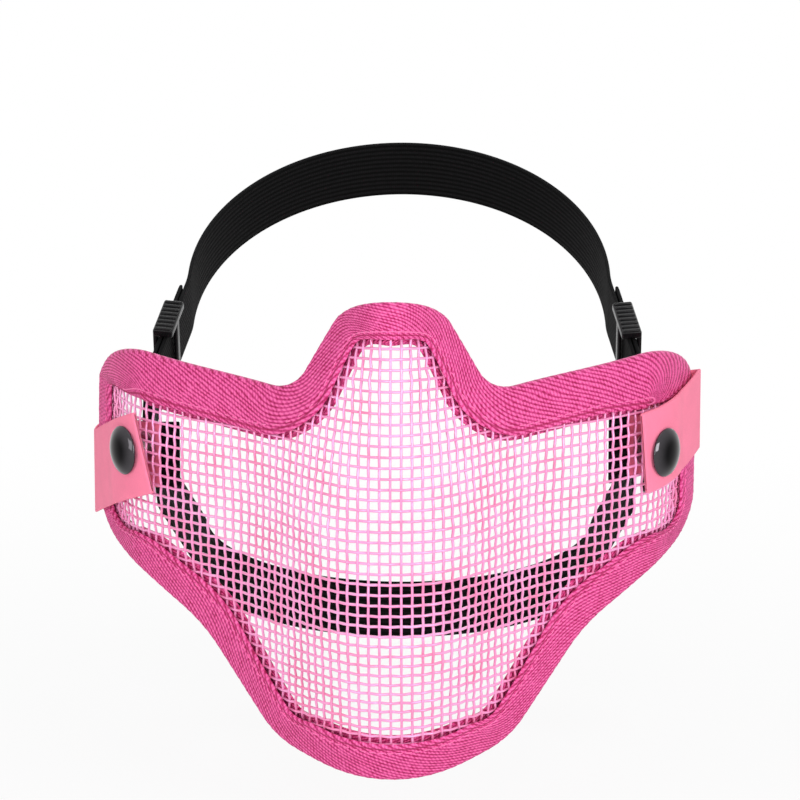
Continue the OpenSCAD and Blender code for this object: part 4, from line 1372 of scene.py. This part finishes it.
def put_floor(props):
    """A wide pale disc under the solids. Seen by the camera or in a gloss it turns white
    with distance, so that it runs into the background and keeps the shadow near it."""
    low = min(corner[2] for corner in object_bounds())
    bpy.ops.mesh.primitive_circle_add(vertices=96, radius=6, fill_type="NGON",
                                      location=(0, 0, low - FLOOR_DROP * MM))
    floor = bpy.context.object
    floor.name = "floor"
    material, tree, shader = finish("pale_floor", Roughness=0.9, Specular_IOR_Level=0.1)
    join(tree, shader, Base_Color=tinted(tree, props.floor_colour, noise(tree, 3, 2), 0.985, 1.0))
    seen = add(tree, "LightPath").outputs
    white = add(tree, "Emission", {"Color": (1, 1, 1, 1), "Strength": 1.0})
    place = add(tree, "SeparateXYZ", {0: add(tree, "TexCoord").outputs["Object"]}).outputs
    squares = (calc(tree, "POWER", place[k], 2.0) for k in (0, 1))
    away = calc(tree, "SQRT", calc(tree, "ADD", *squares))
    direct = calc(tree, "MAXIMUM", seen["Is Camera Ray"], seen["Is Glossy Ray"])
    share = calc(tree, "MULTIPLY", direct, mapped(tree, away, 0.88, 1.0, 0.15, 0.5))
    both = add(tree, "MixShader", {0: share, 1: shader.outputs[0], 2: white.outputs[0]})
    tree.links.new(both.outputs[0], tree.nodes["Material Output"].inputs["Surface"])
    floor.data.materials.append(material)
    floor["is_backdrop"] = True


def put_world(level):
    """Even light of this level from all round, and a white background for what looks
    straight at it, in a gloss or through glass."""
    world = bpy.data.worlds.new("studio")
    bpy.context.scene.world = world
    world.use_nodes = True
    sky = world.node_tree
    rays = add(sky, "LightPath").outputs
    direct = calc(sky, "MAXIMUM", rays["Is Camera Ray"],
                  calc(sky, "MAXIMUM", rays["Is Glossy Ray"], rays["Is Transmission Ray"]))
    strength = calc(sky, "ADD", calc(sky, "MULTIPLY", direct, 1 - level), level)
    sky.nodes["Background"].inputs["Color"].default_value = (1, 1, 1, 1)
    join(sky, sky.nodes["Background"], Strength=strength)


def put_camera():
    """Camera that looks a little down at the muzzle from the front."""
    right = np.array([np.cos(VIEW_TURN), np.sin(VIEW_TURN), 0])
    ahead = np.array([-np.sin(VIEW_TURN) * np.cos(VIEW_DOWN), np.cos(VIEW_TURN) * np.cos(VIEW_DOWN),
                      -np.sin(VIEW_DOWN)])
    place = (VIEW_AT - ahead * VIEW_FAR) * MM
    aim = (VIEW_AT + right * AIM_RIGHT + np.cross(right, ahead) * AIM_UP) * MM
    data = bpy.data.cameras.new("view")
    data.lens, data.sensor_width = LENS, 36
    data.clip_start, data.clip_end = 0.05, 50
    bpy.context.scene.camera = aimed(data, place, aim)


class MASK_OT_stage(bpy.types.Operator):
    """Sets the floor, the lamps, the even light and the camera"""
    bl_idname = "half_mask.stage"
    bl_label = "Stage"

    def execute(self, context):
        props = context.scene.mask_stage
        put_floor(props)
        put_world(props.world)
        for name, place, wide, tall, power in LAMPS:
            data = bpy.data.lights.new(name, "AREA")
            data.shape, data.size, data.size_y = "RECTANGLE", wide, tall
            data.energy = power * props.light
            aimed(data, place)
        put_camera()
        context.scene.view_settings.view_transform = "Standard"
        return {"FINISHED"}


class MASK_PT_panel(bpy.types.Panel):
    """Lists the pieces of the mask"""
    bl_idname = "MASK_PT_panel"
    bl_label = "Mesh mask"
    bl_space_type = "VIEW_3D"
    bl_region_type = "UI"
    bl_category = "Mask"

    def draw(self, context):
        for operator, settings in STEPS:
            self.layout.operator(operator.bl_idname)
            group = getattr(context.scene, settings)
            for key in group.__annotations__:
                self.layout.prop(group, key)


GROUPS = {"mask_wires": WireSettings, "mask_tape": TapeSettings, "mask_tabs": TabSettings,
          "mask_snaps": SnapSettings, "mask_straps": StrapSettings, "mask_stage": StageSettings}
STEPS = ((MASK_OT_wires, "mask_wires"), (MASK_OT_tape, "mask_tape"), (MASK_OT_tabs, "mask_tabs"),
         (MASK_OT_snaps, "mask_snaps"), (MASK_OT_straps, "mask_straps"),
         (MASK_OT_sliders, "mask_straps"), (MASK_OT_stage, "mask_stage"))
CLASSES = (*GROUPS.values(), *(operator for operator, _ in STEPS), MASK_PT_panel)


def register():
    for each in CLASSES:
        bpy.utils.register_class(each)
    for name, group in GROUPS.items():
        setattr(bpy.types.Scene, name, PointerProperty(type=group))


def unregister():
    for name in GROUPS:
        delattr(bpy.types.Scene, name)
    for each in reversed(CLASSES):
        bpy.utils.unregister_class(each)


def main():
    register()
    bpy.ops.half_mask.wires()
    bpy.ops.half_mask.tape()
    bpy.ops.half_mask.tabs()
    bpy.ops.half_mask.snaps()
    bpy.ops.half_mask.straps()
    bpy.ops.half_mask.sliders()
    bpy.ops.half_mask.stage()


if __name__ == "__main__":
    main()
